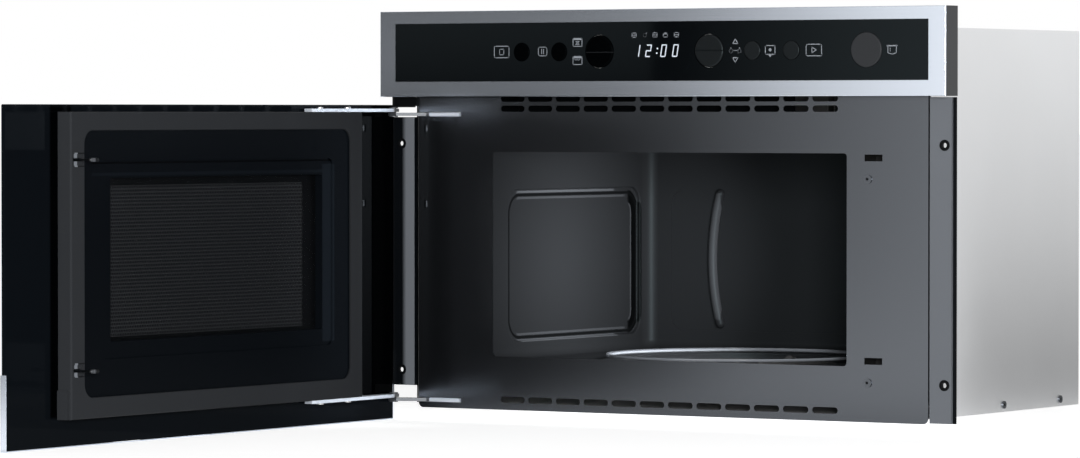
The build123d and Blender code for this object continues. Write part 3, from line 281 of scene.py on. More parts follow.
looks = {
    "panelSteel": dict(light=gray(0.65, cool), dark=gray(0.57, cool), rough=(0.18, 0.25), metallic=1.0,
                       bump=0.02, relief=0.00001, stretch=steelBrush, cloud=1.0, grain=3.0, share=0.6),
    "housingPlastic": dict(light=gray(0.035, cool), dark=gray(0.028, cool), rough=(0.42, 0.5), specular=0.32,
                           bump=0.2, relief=0.00005, grain=1600.0),
    "ductPlastic": dict(light=gray(0.002, deep), dark=gray(0.0015, deep), rough=(0.5, 0.6), specular=0.05,
                        bump=0.2, relief=0.00005, grain=1600.0),
    "fasciaGlass": dict(light=gray(0.0022, deep), dark=gray(0.0016, deep), rough=(0.03, 0.06), specular=0.16,
                        cloud=6.0, share=0.1, tint=gloss),
    # The keys are all one plastic: the left keys take a shaded copy, painted darker with almost no sheen, and
    # the right keys a lit copy, painted lighter
    "keyShadedCopy": dict(light=gray(0.0007, deep), dark=gray(0.0005, deep), rough=(0.28, 0.36), specular=0.01,
                     bump=0.1, relief=0.00003, grain=2500.0, tint=gloss),
    "keyLitCopy": dict(light=gray(0.006, cool), dark=gray(0.005, cool), rough=(0.3, 0.38), specular=0.16,
                       bump=0.1, relief=0.00003, grain=2500.0, tint=gloss),
    "doorKeyPlastic": dict(light=gray(0.028, cool), dark=gray(0.023, cool), rough=(0.36, 0.44), specular=0.15,
                           bump=0.15, relief=0.00004, grain=2500.0),
    "plateEnamel": dict(light=gray(0.112, cool), dark=gray(0.104, cool), rough=(0.2, 0.26), metallic=0.98,
                        bump=0.02, relief=0.00003, cloud=5.0, grain=420.0, share=0.3),
    "stripEnamel": dict(light=gray(0.165, cool), dark=gray(0.15, cool), rough=(0.42, 0.5), specular=0.06,
                        bump=0.08, relief=0.00004, grain=700.0),
    "bushBlack": dict(light=gray(0.002, deep), dark=gray(0.0015, deep), rough=(0.5, 0.6), specular=0.08,
                      bump=0.2, relief=0.00005, grain=2000.0),
    "casingSteel": dict(light=gray(0.80, plain), dark=gray(0.75, plain), rough=(0.36, 0.44), metallic=0.93,
                        bump=0.03, relief=0.00004, cloud=14.0, grain=260.0, share=0.2),
    "screwDark": dict(light=gray(0.12, cool), dark=gray(0.10, cool), rough=(0.28, 0.36), metallic=1.0,
                      grain=1500.0),
    "screwZinc": dict(light=gray(0.62), dark=gray(0.45), rough=(0.28, 0.4), metallic=1.0, grain=1500.0),
    "cavityEnamel": dict(light=gray(0.0098, cool), dark=gray(0.0084, cool), rough=(0.42, 0.5), specular=0.14,
                         bump=0.05, relief=0.00006, cloud=7.0, grain=380.0, tint=gloss),
    "hingeZinc": dict(light=gray(0.80, cool), dark=gray(0.70, cool), rough=(0.4, 0.5), metallic=0.45,
                      bump=0.1, relief=0.00003, grain=1300.0),
    "latchBlack": dict(light=gray(0.0022, deep), dark=gray(0.0016, deep), rough=(0.3, 0.4), specular=0.12,
                       bump=0.1, relief=0.00003, grain=1300.0),
    "doorGlass": dict(light=gray(0.0062, deep), dark=gray(0.0052, deep), rough=(0.02, 0.05), specular=0.006,
                      cloud=5.0, share=0.1, tint=gloss),
    "chokePlastic": dict(light=gray(0.036, cool), dark=gray(0.031, cool), rough=(0.42, 0.5), specular=0.01,
                         bump=0.12, relief=0.00004, grain=1900.0),
    "screenGrey": dict(light=gray(0.016, cool), dark=gray(0.013, cool), rough=(0.4, 0.5), specular=0.12,
                       grain=1500.0),
    "panBlack": dict(light=gray(0.0022, deep), dark=gray(0.0016, deep), rough=(0.5, 0.6), specular=0.05,
                     bump=0.1, grain=1200.0),
    "clearFilm": dict(light=gray(0.03), dark=gray(0.02), rough=(0.12, 0.16), specular=0.1, alpha=0.03),
    "micaSheet": dict(light=(0.42, 0.37, 0.29, 1), dark=(0.33, 0.29, 0.23, 1), rough=(0.45, 0.6), bump=0.2,
                      relief=0.0001, cloud=45.0, grain=1200.0),
    "plateGlass": dict(light=gray(0.27, cool), dark=gray(0.23, cool), rough=(0.06, 0.12), alpha=0.2),
    "ringPlastic": dict(light=gray(0.05), dark=gray(0.04), rough=(0.4, 0.5), bump=0.1, grain=1500.0),
    "innerPlastic": dict(light=gray(0.6), dark=gray(0.54), rough=(0.42, 0.52), bump=0.1, grain=1500.0),
    "switchPlastic": dict(light=gray(0.012), dark=gray(0.009), rough=(0.42, 0.52), specular=0.15, bump=0.15,
                          grain=1500.0),
    "boardGreen": dict(light=(0.03, 0.14, 0.06, 1), dark=(0.02, 0.1, 0.045, 1), rough=(0.4, 0.5),
                       grain=2600.0),
    "displayDark": dict(light=gray(0.012), dark=gray(0.008), rough=(0.2, 0.3), grain=1500.0),
    "guideSteel": dict(light=gray(0.6), dark=gray(0.52), rough=(0.35, 0.45), metallic=0.9, bump=0.05,
                       grain=900.0),
    "coreSteel": dict(light=gray(0.13), dark=gray(0.09), rough=(0.4, 0.55), metallic=0.7, bump=0.4,
                      stretch=(1, 60, 1), grain=30.0),
    "canAluminium": dict(light=gray(0.66), dark=gray(0.58), rough=(0.28, 0.38), metallic=1.0, grain=1200.0),
    "heaterSheath": dict(light=(0.06, 0.055, 0.052, 1), dark=(0.04, 0.038, 0.036, 1), rough=(0.45, 0.6),
                         metallic=0.5, bump=0.2, grain=1600.0),
    "lampGlass": dict(light=gray(0.9), dark=gray(0.86), rough=(0.05, 0.1), transmission=1.0, ior=1.45),
}
finishes = {name: finish(name, **look) for name, look in looks.items()}

# The door's cover is painted darker towards the hinge as shade, and its recess is darker than its rim
cover = {"fadeFrom": -0.34, "fadeTo": -0.235, "hingeShadeLevel": 0.017}
fade = rampMask(finishes["chokePlastic"], "Y", cover["fadeFrom"], cover["fadeTo"])
recolor("chokePlastic", fade, gray(cover["hingeShadeLevel"], cool))
recess = {"halfWidth": 205.4, "bottom": 25.2, "top": 256.8, "back": 5.0, "front": 18.6, "level": 0.0042}
recolorBox("chokePlastic",
           (doorPlane + recess["back"], doorMiddle - recess["halfWidth"], recess["bottom"]),
           (doorPlane + recess["front"], doorMiddle + recess["halfWidth"], recess["top"]),
           gray(recess["level"], deep))

# Each hook's slot in the cover gets two lips painted bright as highlights and two edges painted dark as shade
slots = {
    "heights": (230.9, 50.4), "face": (-284, -279),
    "lip": (-667.7, -663.4), "lipFrom": 1.4, "lipTo": 6.0, "lipHighlightLevel": 0.25,
    "edge": (-663.0, -653.5), "edgeOut": 5.6, "edgeHalf": 0.4, "edgeShadeLevel": 0.012,
}
faceLow, faceHigh = slots["face"]
for height in slots["heights"]:
    for way in (-1, 1):
        near, far = sorted((height + way * slots["lipFrom"], height + way * slots["lipTo"]))
        recolorBox("chokePlastic", (faceLow, slots["lip"][0], near), (faceHigh, slots["lip"][1], far),
                   gray(slots["lipHighlightLevel"], cool))
        middle = height + way * slots["edgeOut"]
        recolorBox("chokePlastic", (faceLow, slots["edge"][0], middle - slots["edgeHalf"]),
                   (faceHigh, slots["edge"][1], middle + slots["edgeHalf"]), gray(slots["edgeShadeLevel"], cool))

# The pressed panel of the cavity's left wall gets a dark rounded outline painted as shade, light lines beside
# it painted as highlights, and a dark step at its back end painted as shade
pressed = {
    "middle": (3.5, 127.3),  # Y and Z
    "half": (115.5, 66.8),
    "corner": 18.0,
    "wall": (-195, -184.3),
    "heights": (0.0, 300.0),
    "edge": 0.5,
    "fade": 4.0,
    "highlightAndShadeBands": [  # each a painted highlight or painted shade: distance outside the outline, half width, level, from and to along the wall
        (-3.0, 5.5, 0.0006, 106, 140),
        (-9.6, 0.8, 0.026, 108, 140),
        (2.9, 0.8, 0.036, -96, 76),
        (-2.9, 0.8, 0.024, -96, 96),
        (0.0, 1.0, 0.0022, -130, 140),
    ],
}


def panelDistance(tree):  # how far a place lies outside the panel's rounded outline
    places = splitVector(tree, objectPlace(tree))
    corner = pressed["corner"]
    reach = []
    for axis, middle, half in zip("YZ", pressed["middle"], pressed["half"]):
        shifted = mathNode(tree, "SUBTRACT", places[axis], middle * mm)
        reach.append(mathNode(tree, "SUBTRACT", mathNode(tree, "ABSOLUTE", shifted), (half - corner) * mm))
    squares = []
    for one in reach:
        outer = mathNode(tree, "MAXIMUM", one, 0.0)
        squares.append(mathNode(tree, "MULTIPLY", outer, outer))
    far = mathNode(tree, "SQRT", mathNode(tree, "ADD", *squares))
    near = mathNode(tree, "MINIMUM", mathNode(tree, "MAXIMUM", *reach), 0.0)
    return mathNode(tree, "SUBTRACT", mathNode(tree, "ADD", far, near), corner * mm)


enamelTree = finishes["cavityEnamel"].node_tree
outline = panelDistance(enamelTree)
for offset, half, level, start, end in pressed["highlightAndShadeBands"]:
    away = mathNode(enamelTree, "ABSOLUTE", mathNode(enamelTree, "SUBTRACT", outline, offset * mm))
    paintedBand = rampNode(enamelTree, away, (half + pressed["edge"]) * mm, half * mm)
    low, high = zip(pressed["wall"], (start, end), pressed["heights"])
    span = boxMask(finishes["cavityEnamel"], low, high, pressed["fade"])
    recolor("cavityEnamel", mathNode(enamelTree, "MULTIPLY", paintedBand, span), gray(level, cool))

# Other places painted with shade or highlights: finish, low and high corner in millimetres at rest, colour,
# soft edge
paintedShadeAndHighlights = {
    # Painted shade on the door glass by the hinge and beside the hooks, on the hinge knuckles, on the panel's
    # end by the hinge, in the crease between casing and flange, and along the cover's mouldings and groove
    "glassShadeByHinge": ("doorGlass", (-297, -210, 6), (-280, -140, 400), gray(0.0006, deep), 2.0),
    "glassShadowByHooks": ("doorGlass", (-297, -682, 11), (-280, -655, 400), gray(0.0006, deep), 3.0),
    "knuckles": ("hingeZinc", (-297, -168, -20), (-257, -145, 400), gray(0.07, cool), 0.2),
    "panelEar": ("housingPlastic", (-300, -160, 260), (-272.5, -140, 285.6), gray(0.0015, deep), 0.2),
    "casingEdge": ("casingSteel", (-273, -150, -20), (-269, -146.2, 400), gray(0.002, deep), 0.2),
    "flangeEdge": ("stripEnamel", (-272.2, -160, -20), (-270, -140, 400), gray(0.003, deep), 0.2),
    # A painted highlight along the bead of the cavity wall
    "wallBeadHighlight": ("cavityEnamel", (-126, 120, 72), (-104, 133.4, 193.5), gray(0.026, cool), 0.5),
    "sideMoulding": ("chokePlastic", (-290, -284.5, 62), (-279, -268.0, 224), gray(0.0095, deep), 0.6),
    "topGroove": ("chokePlastic", (-290, -640, 227.2), (-279, -272, 228.4), gray(0.0008, deep), 0.4),
    "topMoulding": ("chokePlastic", (-290, -640, 217.0), (-279, -285, 219.0), gray(0.0075, deep), 0.6),
    # A painted highlight on the left key's split, and painted shade in the right key's split
    "leftKeySplitHighlight": ("keyShadedCopy", (-75, -180, 326.0), (-40, -150, 326.7), gray(0.012, cool), 0.2),
    "rightKeySplitShade": ("keyLitCopy", (43, -180, 327.2), (77, -150, 327.9), gray(0.0006, deep), 0.2),
}
for paintedMark in paintedShadeAndHighlights.values():
    recolorBox(*paintedMark)

# Two small reflections painted beside the upper hinge, each a dark rim round a bright middle
reflectionMarks = {
    "heights": (256.6, 185.9), "y": (-149, -147),
    "rim": {"x": (-262.6, -260.8), "half": 3.4, "color": gray(0.01, deep)},
    "centre": {"x": (-260.8, -259.2), "half": 2.6, "color": gray(0.9, cool)},
}
for height in reflectionMarks["heights"]:
    for part in (reflectionMarks["rim"], reflectionMarks["centre"]):
        low, high = zip(part["x"], reflectionMarks["y"], (height - part["half"], height + part["half"]))
        recolorBox("plateEnamel", low, high, part["color"])

# The slot of each face screw, painted dark as the shade inside it
screwSlots = {"heights": (212.2, 30.7), "x": (207.0, 209.0), "y": (-152, -144), "half": 1.0, "level": 0.015}
for height in screwSlots["heights"]:
    span = (height - screwSlots["half"], height + screwSlots["half"])
    low, high = zip(screwSlots["x"], screwSlots["y"], span)
    recolorBox("screwDark", low, high, gray(screwSlots["level"], cool))

# The turntable's glass is painted more opaque at its rim, as a highlight along the edge
rimGlass = {"centre": (0.0, (panelFront + 153.0) * mm, 0.0), "inner": 118.5, "outer": 120.5,
            "middle": 0.05, "edge": 0.85}
tree = finishes["plateGlass"].node_tree
flat = vectorNode(tree, "MULTIPLY", objectPlace(tree), (1.0, 1.0, 0.0))[0]
away = vectorNode(tree, "DISTANCE", flat, rimGlass["centre"])["Value"]
inner, outer = rimGlass["inner"] * mm, rimGlass["outer"] * mm
rimHighlight = rampNode(tree, away, inner, outer, rimGlass["middle"], rimGlass["edge"])
tree.links.new(rimHighlight, tree.nodes["Principled BSDF"].inputs["Alpha"])

# Only the tips of the hooks are painted bright, as a highlight
hookTipHighlight = {"back": 37.0, "front": -250, "sides": (-668.0, -664.5), "heights": (0, 300), "level": 0.07}
low, high = zip((doorPlane + hookTipHighlight["back"], hookTipHighlight["front"]), hookTipHighlight["sides"], hookTipHighlight["heights"])
recolorBox("latchBlack", low, high, gray(hookTipHighlight["level"], cool))

# The outer lips of the side flanges are black; on the hinge side the black is painted broader, as the open
# door's shadow
lipsAndDoorShadow = {"right": (293.3, 293.6), "left": (-281.5, -286.0), "level": 0.003}
for side in ("right", "left"):
    lipAndShadowMask = rampMask(finishes["stripEnamel"], "X", *[x * mm for x in lipsAndDoorShadow[side]])
    recolor("stripEnamel", lipAndShadowMask, gray(lipsAndDoorShadow["level"], deep))

nodeFinishes = {
    "panelSteel": ["panel_frame", "door_band"],
    "housingPlastic": ["panel_housing"],
    "ductPlastic": ["air_duct"],
    "fasciaGlass": ["fascia"],
    "keyShadedCopy": ["button_1", "button_2", "rocker_left"],
    "keyLitCopy": ["button_3", "button_4", "rocker_right"],
    "doorKeyPlastic": ["door_button"],
    "plateEnamel": ["face_plate"],
    "stripEnamel": ["flange_left", "flange_right"],
    "bushBlack": ["flange_bushes"],
    "casingSteel": ["outer_wrapper", "base_plate", "back_panel"],
    "screwDark": ["case_screws"],
    "screwZinc": ["door_screws"],
    "cavityEnamel": ["cavity_shell"],
    "hingeZinc": [
        "hinge_bracket_upper", "hinge_bracket_lower", "hinge_arm_upper", "hinge_arm_lower", "hinge_pins",
        "latch_spring",
    ],
    "latchBlack": ["latch_bar"],
    "doorGlass": ["door_glass"],
    "chokePlastic": ["choke_frame"],
    "screenGrey": ["window_screen"],
    "panBlack": ["door_body"],
    "clearFilm": ["window_film"],
    "micaSheet": ["waveguide_cover"],
    "plateGlass": ["glass_turntable"],
    "ringPlastic": ["roller_ring", "roller_1", "roller_2", "roller_3", "drive_coupler"],
    "innerPlastic": ["button_frame", "fan_shroud", "fan_rotor"],
    "switchPlastic": ["cable_gland", "interlock_switches", "latch_bracket", "door_release_lever"],
    "boardGreen": ["control_board", "power_board"],
    "displayDark": ["display_module"],
    "guideSteel": ["waveguide", "grill_reflector"],
    "coreSteel": ["hv_transformer", "fan_motor", "turntable_motor"],
    "canAluminium": ["magnetron", "hv_capacitor"],
    "heaterSheath": ["grill_heater"],
    "lampGlass": ["oven_lamp"],
}
for finishName, members in nodeFinishes.items():
    for member in members:
        for slot in nodes[member].material_slots:
            slot.material = finishes[finishName]
print("finishes:", len(finishes))


def meshPiece(name, mesh, material, body):
    data = bpy.data.meshes.new(name)
    mesh.to_mesh(data)
    mesh.free()
    piece = bpy.data.objects.new(name, data)
    bpy.context.scene.collection.objects.link(piece)
    data.materials.append(material)
    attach(piece, body)
    return piece


icons = {
    "proud": 0.05,  # the print stands this far in front of the fascia
    "fasciaBack": 0.3,  # the fascia lies this far behind the panel's front
    "line": 0.75,
    "fine": 0.5,
    "bold": 1.1,
    "heavy": 1.2,
    "printLevel": 0.30,
    "lampLevel": 0.62,
    "darkShare": 0.92,
    "lampTint": (0.85, 0.9, 1.0, 1.0),
    "lampStrength": 0.25,
}
fasciaFace = panelFront + icons["fasciaBack"]


class panelInk:  # strokes drawn on the panel's front, in millimetres across and up
    def __init__(self):
        self.mesh = bmesh.new()

    def face(self, points):
        front = [self.mesh.verts.new((x * mm, (fasciaFace - icons["proud"]) * mm, z * mm)) for x, z in points]
        back = [self.mesh.verts.new((x * mm, fasciaFace * mm, z * mm)) for x, z in points]
        self.mesh.faces.new(front)
        count = len(points)
        for i in range(count):
            j = (i + 1) % count
            self.mesh.faces.new((front[i], back[i], back[j], front[j]))

    def stroke(self, start, end, width):
        (x0, z0), (x1, z1) = start, end
        length = math.hypot(x1 - x0, z1 - z0)
        dx, dz = (x1 - x0) / length * width / 2, (z1 - z0) / length * width / 2
        self.face([(x0 - dx - dz, z0 - dz + dx), (x0 - dx + dz, z0 - dz - dx),
                   (x1 + dx + dz, z1 + dz - dx), (x1 + dx - dz, z1 + dz + dx)])

    def path(self, points, width, closed=False):
        ends = points[1:] + points[:1] if closed else points[1:]
        for start, end in zip(points, ends):
            self.stroke(start, end, width)

    def frame(self, left, right, bottom, top, width, corner=0.8):
        self.path([(left + corner, bottom), (right - corner, bottom), (right, bottom + corner),
                   (right, top - corner), (right - corner, top), (left + corner, top), (left, top - corner),
                   (left, bottom + corner)], width, closed=True)

    def circle(self, x, z, radius, sides=14):
        turns = [2 * math.pi * k / sides for k in range(sides)]
        return [(x + radius * math.cos(turn), z + radius * math.sin(turn)) for turn in turns]

    def disc(self, x, z, radius):
        self.face(self.circle(x, z, radius))

    def ring(self, x, z, radius, width):
        self.path(self.circle(x, z, radius), width, closed=True)


def glow(name, level):  # a lit or printed mark
    light, dark = gray(level, cool), gray(level * icons["darkShare"], cool)
    return finish(name, light, dark, (0.45, 0.55), specular=0.2, grain=3000.0)


printInk = glow("printInk", icons["printLevel"])
lampInk = glow("lampInk", icons["lampLevel"])
lampShader = lampInk.node_tree.nodes["Principled BSDF"]
lampShader.inputs["Emission Color"].default_value = icons["lampTint"]
lampShader.inputs["Emission Strength"].default_value = icons["lampStrength"]

line, fine, bold, heavy = icons["line"], icons["fine"], icons["bold"], icons["heavy"]
marks = {  # each mark is a list of strokes: the kind, then its places and its width
    "stopSquare": [
        ("frame", -171.3, -155.3, 321.9, 332.5, line),
        ("frame", -165.6, -161.0, 324.7, 329.7, line, 0.5),
    ],
    "pauseBars": [
        ("frame", -123.5, -114.2, 323.4, 331.4, line, 1.4),
        ("stroke", (-119.9, 325.4), (-119.9, 329.4), line),
        ("stroke", (-117.8, 325.4), (-117.8, 329.4), line),
    ],
    "microwaveHourglass": [
        ("frame", -86.1, -76.5, 331.9, 339.1, line, 0.4),
        ("stroke", (-85.6, 338.2), (-77.0, 338.2), bold),
        ("path", [(-83.4, 336.4), (-79.2, 336.4), (-83.4, 333.6), (-79.2, 333.6)], fine, True),
    ],
    "grillHeater": [
        ("frame", -86.1, -76.5, 315.3, 322.6, line, 0.4),
        ("stroke", (-85.6, 321.6), (-77.0, 321.6), heavy),
        ("path", [(-84.4, 320.1), (-83.0, 319.1), (-81.6, 320.1), (-80.2, 319.1), (-78.8, 320.1)], fine),
    ],
    "arrowsAndDials": [
        ("path", [(82.1, 333.4), (87.5, 333.4), (84.8, 337.4)], line, True),
        ("path", [(82.1, 320.6), (87.5, 320.6), (84.8, 316.6)], line, True),
        ("ring", 80.3, 326.6, 1.7, line),
        ("stroke", (80.3, 328.6), (80.3, 329.6), line),
        ("ring", 89.1, 326.6, 1.7, line),
        ("stroke", (89.1, 328.6), (89.1, 329.6), line),
        ("stroke", (82.9, 327.2), (86.5, 327.2), fine),
    ],
    "timeDot": [
        ("frame", 115.8, 125.7, 323.5, 331.3, line, 0.5),
        ("disc", 120.7, 327.5, 1.5),
        ("face", [(118.9, 322.9), (122.5, 322.9), (120.7, 320.9)]),
    ],
    "startArrow": [
        ("frame", 157.5, 173.2, 321.9, 332.2, line, 1.0),
        ("path", [(163.4, 324.6), (163.4, 329.6), (167.8, 327.1)], line, True),
    ],
    "openDoor": [
        ("path", [(239.4, 330.4), (249.0, 330.4)], bold),
        ("path", [(240.0, 330.4), (240.0, 324.2), (244.2, 322.9), (248.4, 324.2), (248.4, 330.4)], line),
        ("path", [(242.3, 328.4), (242.3, 325.6)], fine),
    ],
    "clockLamps": [
        lamp
        for place in (-21.0, 1.0, 23.5)
        for lamp in (
            ("frame", place - 2.2, place + 2.2, 339.8, 343.6, line, 0.4),
            ("stroke", (place - 1.6, 341.7), (place + 1.6, 341.7), fine),
        )
    ],
    "keyLamp": [
        ("ring", -9.8, 341.4, 1.5, line),
        ("stroke", (-8.6, 342.6), (-7.9, 343.6), fine),
    ],
    "potLamp": [
        ("frame", 9.8, 14.2, 339.8, 342.6, line, 0.4),
        ("stroke", (11.0, 343.6), (13.0, 343.6), fine),
    ],
}
ink = panelInk()
for strokes in marks.values():
    for kind, *values in strokes:
        getattr(ink, kind)(*values)
meshPiece("panelPrint", ink.mesh, printInk, "oven")

digits = {
    "time": "1200",
    "height": 10.4,
    "width": 4.6,
    "stroke": 1.05,
    "slant": 0.16,
    "gap": 0.45,  # between the segments of a digit
    "bottom": 322.2,
    "starts": (-21.0, -9.0, 6.9, 19.3),
    "colon": 2.4,
    "dots": (325.2, 329.4),
    "dotRadius": 0.8,
}
segments = {"1": "bc", "2": "abged", "0": "abcdef"}


def drawDigit(ink, shape, left):
    height, width, gap = digits["height"], digits["width"], digits["gap"]
    half = height / 2
    ends = {
        "a": ((gap, height), (width - gap, height)),
        "b": ((width, height - gap), (width, half + gap)),
        "c": ((width, half - gap), (width, gap)),
        "d": ((gap, 0), (width - gap, 0)),
        "e": ((0, half - gap), (0, gap)),
        "f": ((0, height - gap), (0, half + gap)),
        "g": ((gap, half), (width - gap, half)),
    }
    for letter in segments[shape]:
        points = [(left + x + z * digits["slant"], digits["bottom"] + z) for x, z in ends[letter]]
        ink.stroke(points[0], points[1], digits["stroke"])


lit = panelInk()
for shape, left in zip(digits["time"], digits["starts"]):
    drawDigit(lit, shape, left)
for height in digits["dots"]:
    lit.disc(digits["colon"] + (height - digits["bottom"]) * digits["slant"], height, digits["dotRadius"])
meshPiece("displayDigits", lit.mesh, lampInk, "oven")
print("panel print and display drawn")

screen = {
    "middle": 5.0,
    "halfWidth": 147.0,
    "bottom": 76.5,
    "top": 208.0,
    "front": 8.5,
    "rows": 42,
    "columns": 118,
    "holeAcross": 0.40,  # hole radius as a share of the cell
    "holeUp": 0.36,
    "holeTop": 0.866,  # a six-sided hole's height as a share of its radius
    "thickness": 0.6,
}


def perforatedSheet():  # staggered rows of six-sided holes through a thin sheet
    mesh = bmesh.new()
    cellAcross = 2 * screen["halfWidth"] / screen["columns"]
    cellUp = (screen["top"] - screen["bottom"]) / screen["rows"]
    seen = {}

    def point(across, height, depth=0.0):
        key = (round(across, 4), round(height, 4), depth)
        if key not in seen:
            seen[key] = mesh.verts.new(onDoor(across, screen["front"] - depth, height))
        return seen[key]

    for row in range(screen["rows"]):
        low = screen["bottom"] + row * cellUp
        shift = cellAcross / 2 if row % 2 else 0.0
        for column in range(screen["columns"]):
            left = screen["middle"] - screen["halfWidth"] + column * cellAcross + shift - cellAcross / 4
            middle, right = left + cellAcross / 2, left + cellAcross
            outer = [(right, low + cellUp / 2), (right, low + cellUp), (left, low + cellUp),
                     (left, low + cellUp / 2), (left, low), (right, low)]
            turns = [math.radians(a) for a in (0, 60, 120, 180, 240, 300)]
            inner = [(middle + cellAcross * screen["holeAcross"] * math.cos(turn),
                      low + cellUp / 2 + cellUp * screen["holeUp"] * math.sin(turn) / screen["holeTop"])
                     for turn in turns]
            for k in range(6):
                n = (k + 1) % 6
                mesh.faces.new((point(*outer[k]), point(*outer[n]), point(*inner[n]), point(*inner[k])))
                mesh.faces.new((point(*inner[k]), point(*inner[n]), point(*inner[n], screen["thickness"]),
                                point(*inner[k], screen["thickness"])))
    return mesh


perforated = meshPiece("perforatedScreen", perforatedSheet(), finishes["screenGrey"], "door")
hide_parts("window_screen")
print("screen made")

# The door's latch spring, which shortens as the latch bar slides
coil = {"axis": (-291.3, 140.0), "start": -645.5, "end": -615.5, "radius": 2.6, "wire": 0.35, "turns": 9,
        "steps": 24, "sides": 8, "keep": 0.9}


def coilSpring():
    mesh = bmesh.new()
    count = coil["turns"] * coil["steps"]
    sides = coil["sides"]
    rings = []
    for i in range(count + 1):
        turn = 2 * math.pi * i / coil["steps"]
        along = coil["start"] + (coil["end"] - coil["start"]) * i / count
        ring = []
        for k in range(sides):
            side = 2 * math.pi * k / sides
            out = coil["radius"] + coil["wire"] * math.cos(side)
            ring.append(mesh.verts.new(((coil["axis"][0] + out * math.cos(turn)) * mm,
                                        (along + coil["wire"] * math.sin(side)) * mm,
                                        (coil["axis"][1] + out * math.sin(turn)) * mm)))
        rings.append(ring)
    for first, second in zip(rings, rings[1:]):
        for k in range(sides):
            n = (k + 1) % sides
            mesh.faces.new((first[k], second[k], second[n], first[n]))
    mesh.faces.new(rings[0])
    mesh.faces.new(rings[-1][::-1])
    return mesh


spring = meshPiece("latchCoil", coilSpring(), finishes["hingeZinc"], "door")
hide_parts("latch_spring")
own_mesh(spring)
print("spring made")

# Thin black strips fill the gaps beside the hinges, standing in for the shade in them
gapShadeStrips = {
    "flange": ((-298.6, -147.6, 5.0), (-297.2, -146.9, 268.0)),
    "corner": ((-294.5, -150.9, 277.4), (-269.2, -146.2, 285.9)),
}
for place, (low, high) in gapShadeStrips.items():
    mesh = bmesh.new()
    bmesh.ops.create_cube(mesh, size=1.0)
    for vertex in mesh.verts:
        for axis in range(3):
            vertex.co[axis] = (low[axis] + (high[axis] - low[axis]) * (vertex.co[axis] + 0.5)) * mm
    meshPiece(place + "ShadeStrip", mesh, finishes["bushBlack"], "oven")
print("seals made")

stage = {
    "floorHeight": -0.0168,
    "floorSpan": 60.0,
    "floorColor": (0.85, 0.85, 0.85, 1),
    "floorRough": 0.9,
    "floorGlow": 0.75,
    "ambient": 0.20,
}


def stagePlane(name, rows, material, seen=False):  # each row holds the two ends of a straight edge
    mesh = bmesh.new()
    edges = [[mesh.verts.new(corner) for corner in row] for row in rows]
    for (a, b), (c, d) in zip(edges, edges[1:]):
        mesh.faces.new((a, b, d, c))
    data = bpy.data.meshes.new(name)
    mesh.to_mesh(data)
    mesh.free()
    plane = bpy.data.objects.new(name, data)
    bpy.context.scene.collection.objects.link(plane)
    data.materials.append(material)
    plane.visible_camera = seen
    if not seen:  # a card shapes reflections only
        plane.visible_diffuse = False
        plane.visible_shadow = False
        plane.visible_transmission = False
    return plane


def seenDirectly(tree):  # 1 where the camera, a reflection or a clear part shows it, 0 as light on the object
    path = tree.nodes.new("ShaderNodeLightPath")
    seen = mathNode(tree, "MAXIMUM", path.outputs["Is Camera Ray"], path.outputs["Is Glossy Ray"])
    return mathNode(tree, "MAXIMUM", seen, path.outputs["Is Transmission Ray"])


def floorMaterial():
    material = bpy.data.materials.new("paleFloor")
    material.use_nodes = True
    tree = material.node_tree
    shader = tree.nodes["Principled BSDF"]
    shader.inputs["Base Color"].default_value = stage["floorColor"]
    shader.inputs["Roughness"].default_value = stage["floorRough"]
    shader.inputs["Specular IOR Level"].default_value = 0.0
    glowing = tree.nodes.new("ShaderNodeEmission")
    glowing.inputs["Color"].default_value = (1, 1, 1, 1)
    glowStrength = mathNode(tree, "MULTIPLY", seenDirectly(tree), stage["floorGlow"])
    tree.links.new(glowStrength, glowing.inputs["Strength"])
    both = tree.nodes.new("ShaderNodeAddShader")
    tree.links.new(shader.outputs[0], both.inputs[0])
    tree.links.new(glowing.outputs[0], both.inputs[1])
    tree.links.new(both.outputs[0], tree.nodes["Material Output"].inputs["Surface"])
    return material


floorHeight, floorSpan = stage["floorHeight"], stage["floorSpan"]
floorRows = [[(x, y, floorHeight) for x in (-floorSpan, floorSpan)] for y in (-floorSpan, floorSpan)]
stagePlane("floor", floorRows, floorMaterial(), seen=True)


def cardMaterial(name, stops, axis, low, high):  # a card whose glow runs through the stops along one axis
    material = bpy.data.materials.new(name)
    material.use_nodes = True
    tree = material.node_tree
    tree.nodes.remove(tree.nodes["Principled BSDF"])
    ramp = tree.nodes.new("ShaderNodeValToRGB")
    tree.links.new(rampMask(material, axis, low, high), ramp.inputs["Fac"])
    scale = max(level for place, level in stops)
    for place, level in stops:
        element = ramp.color_ramp.elements.new(place)
        element.color = (level / scale, level / scale, level / scale, 1)
    ramp.color_ramp.elements.remove(ramp.color_ramp.elements[-1])
    ramp.color_ramp.elements.remove(ramp.color_ramp.elements[0])
    glowing = tree.nodes.new("ShaderNodeEmission")
    tree.links.new(ramp.outputs["Color"], glowing.inputs["Color"])
    glowing.inputs["Strength"].default_value = scale
    tree.links.new(glowing.outputs[0], tree.nodes["Material Output"].inputs["Surface"])
    return material


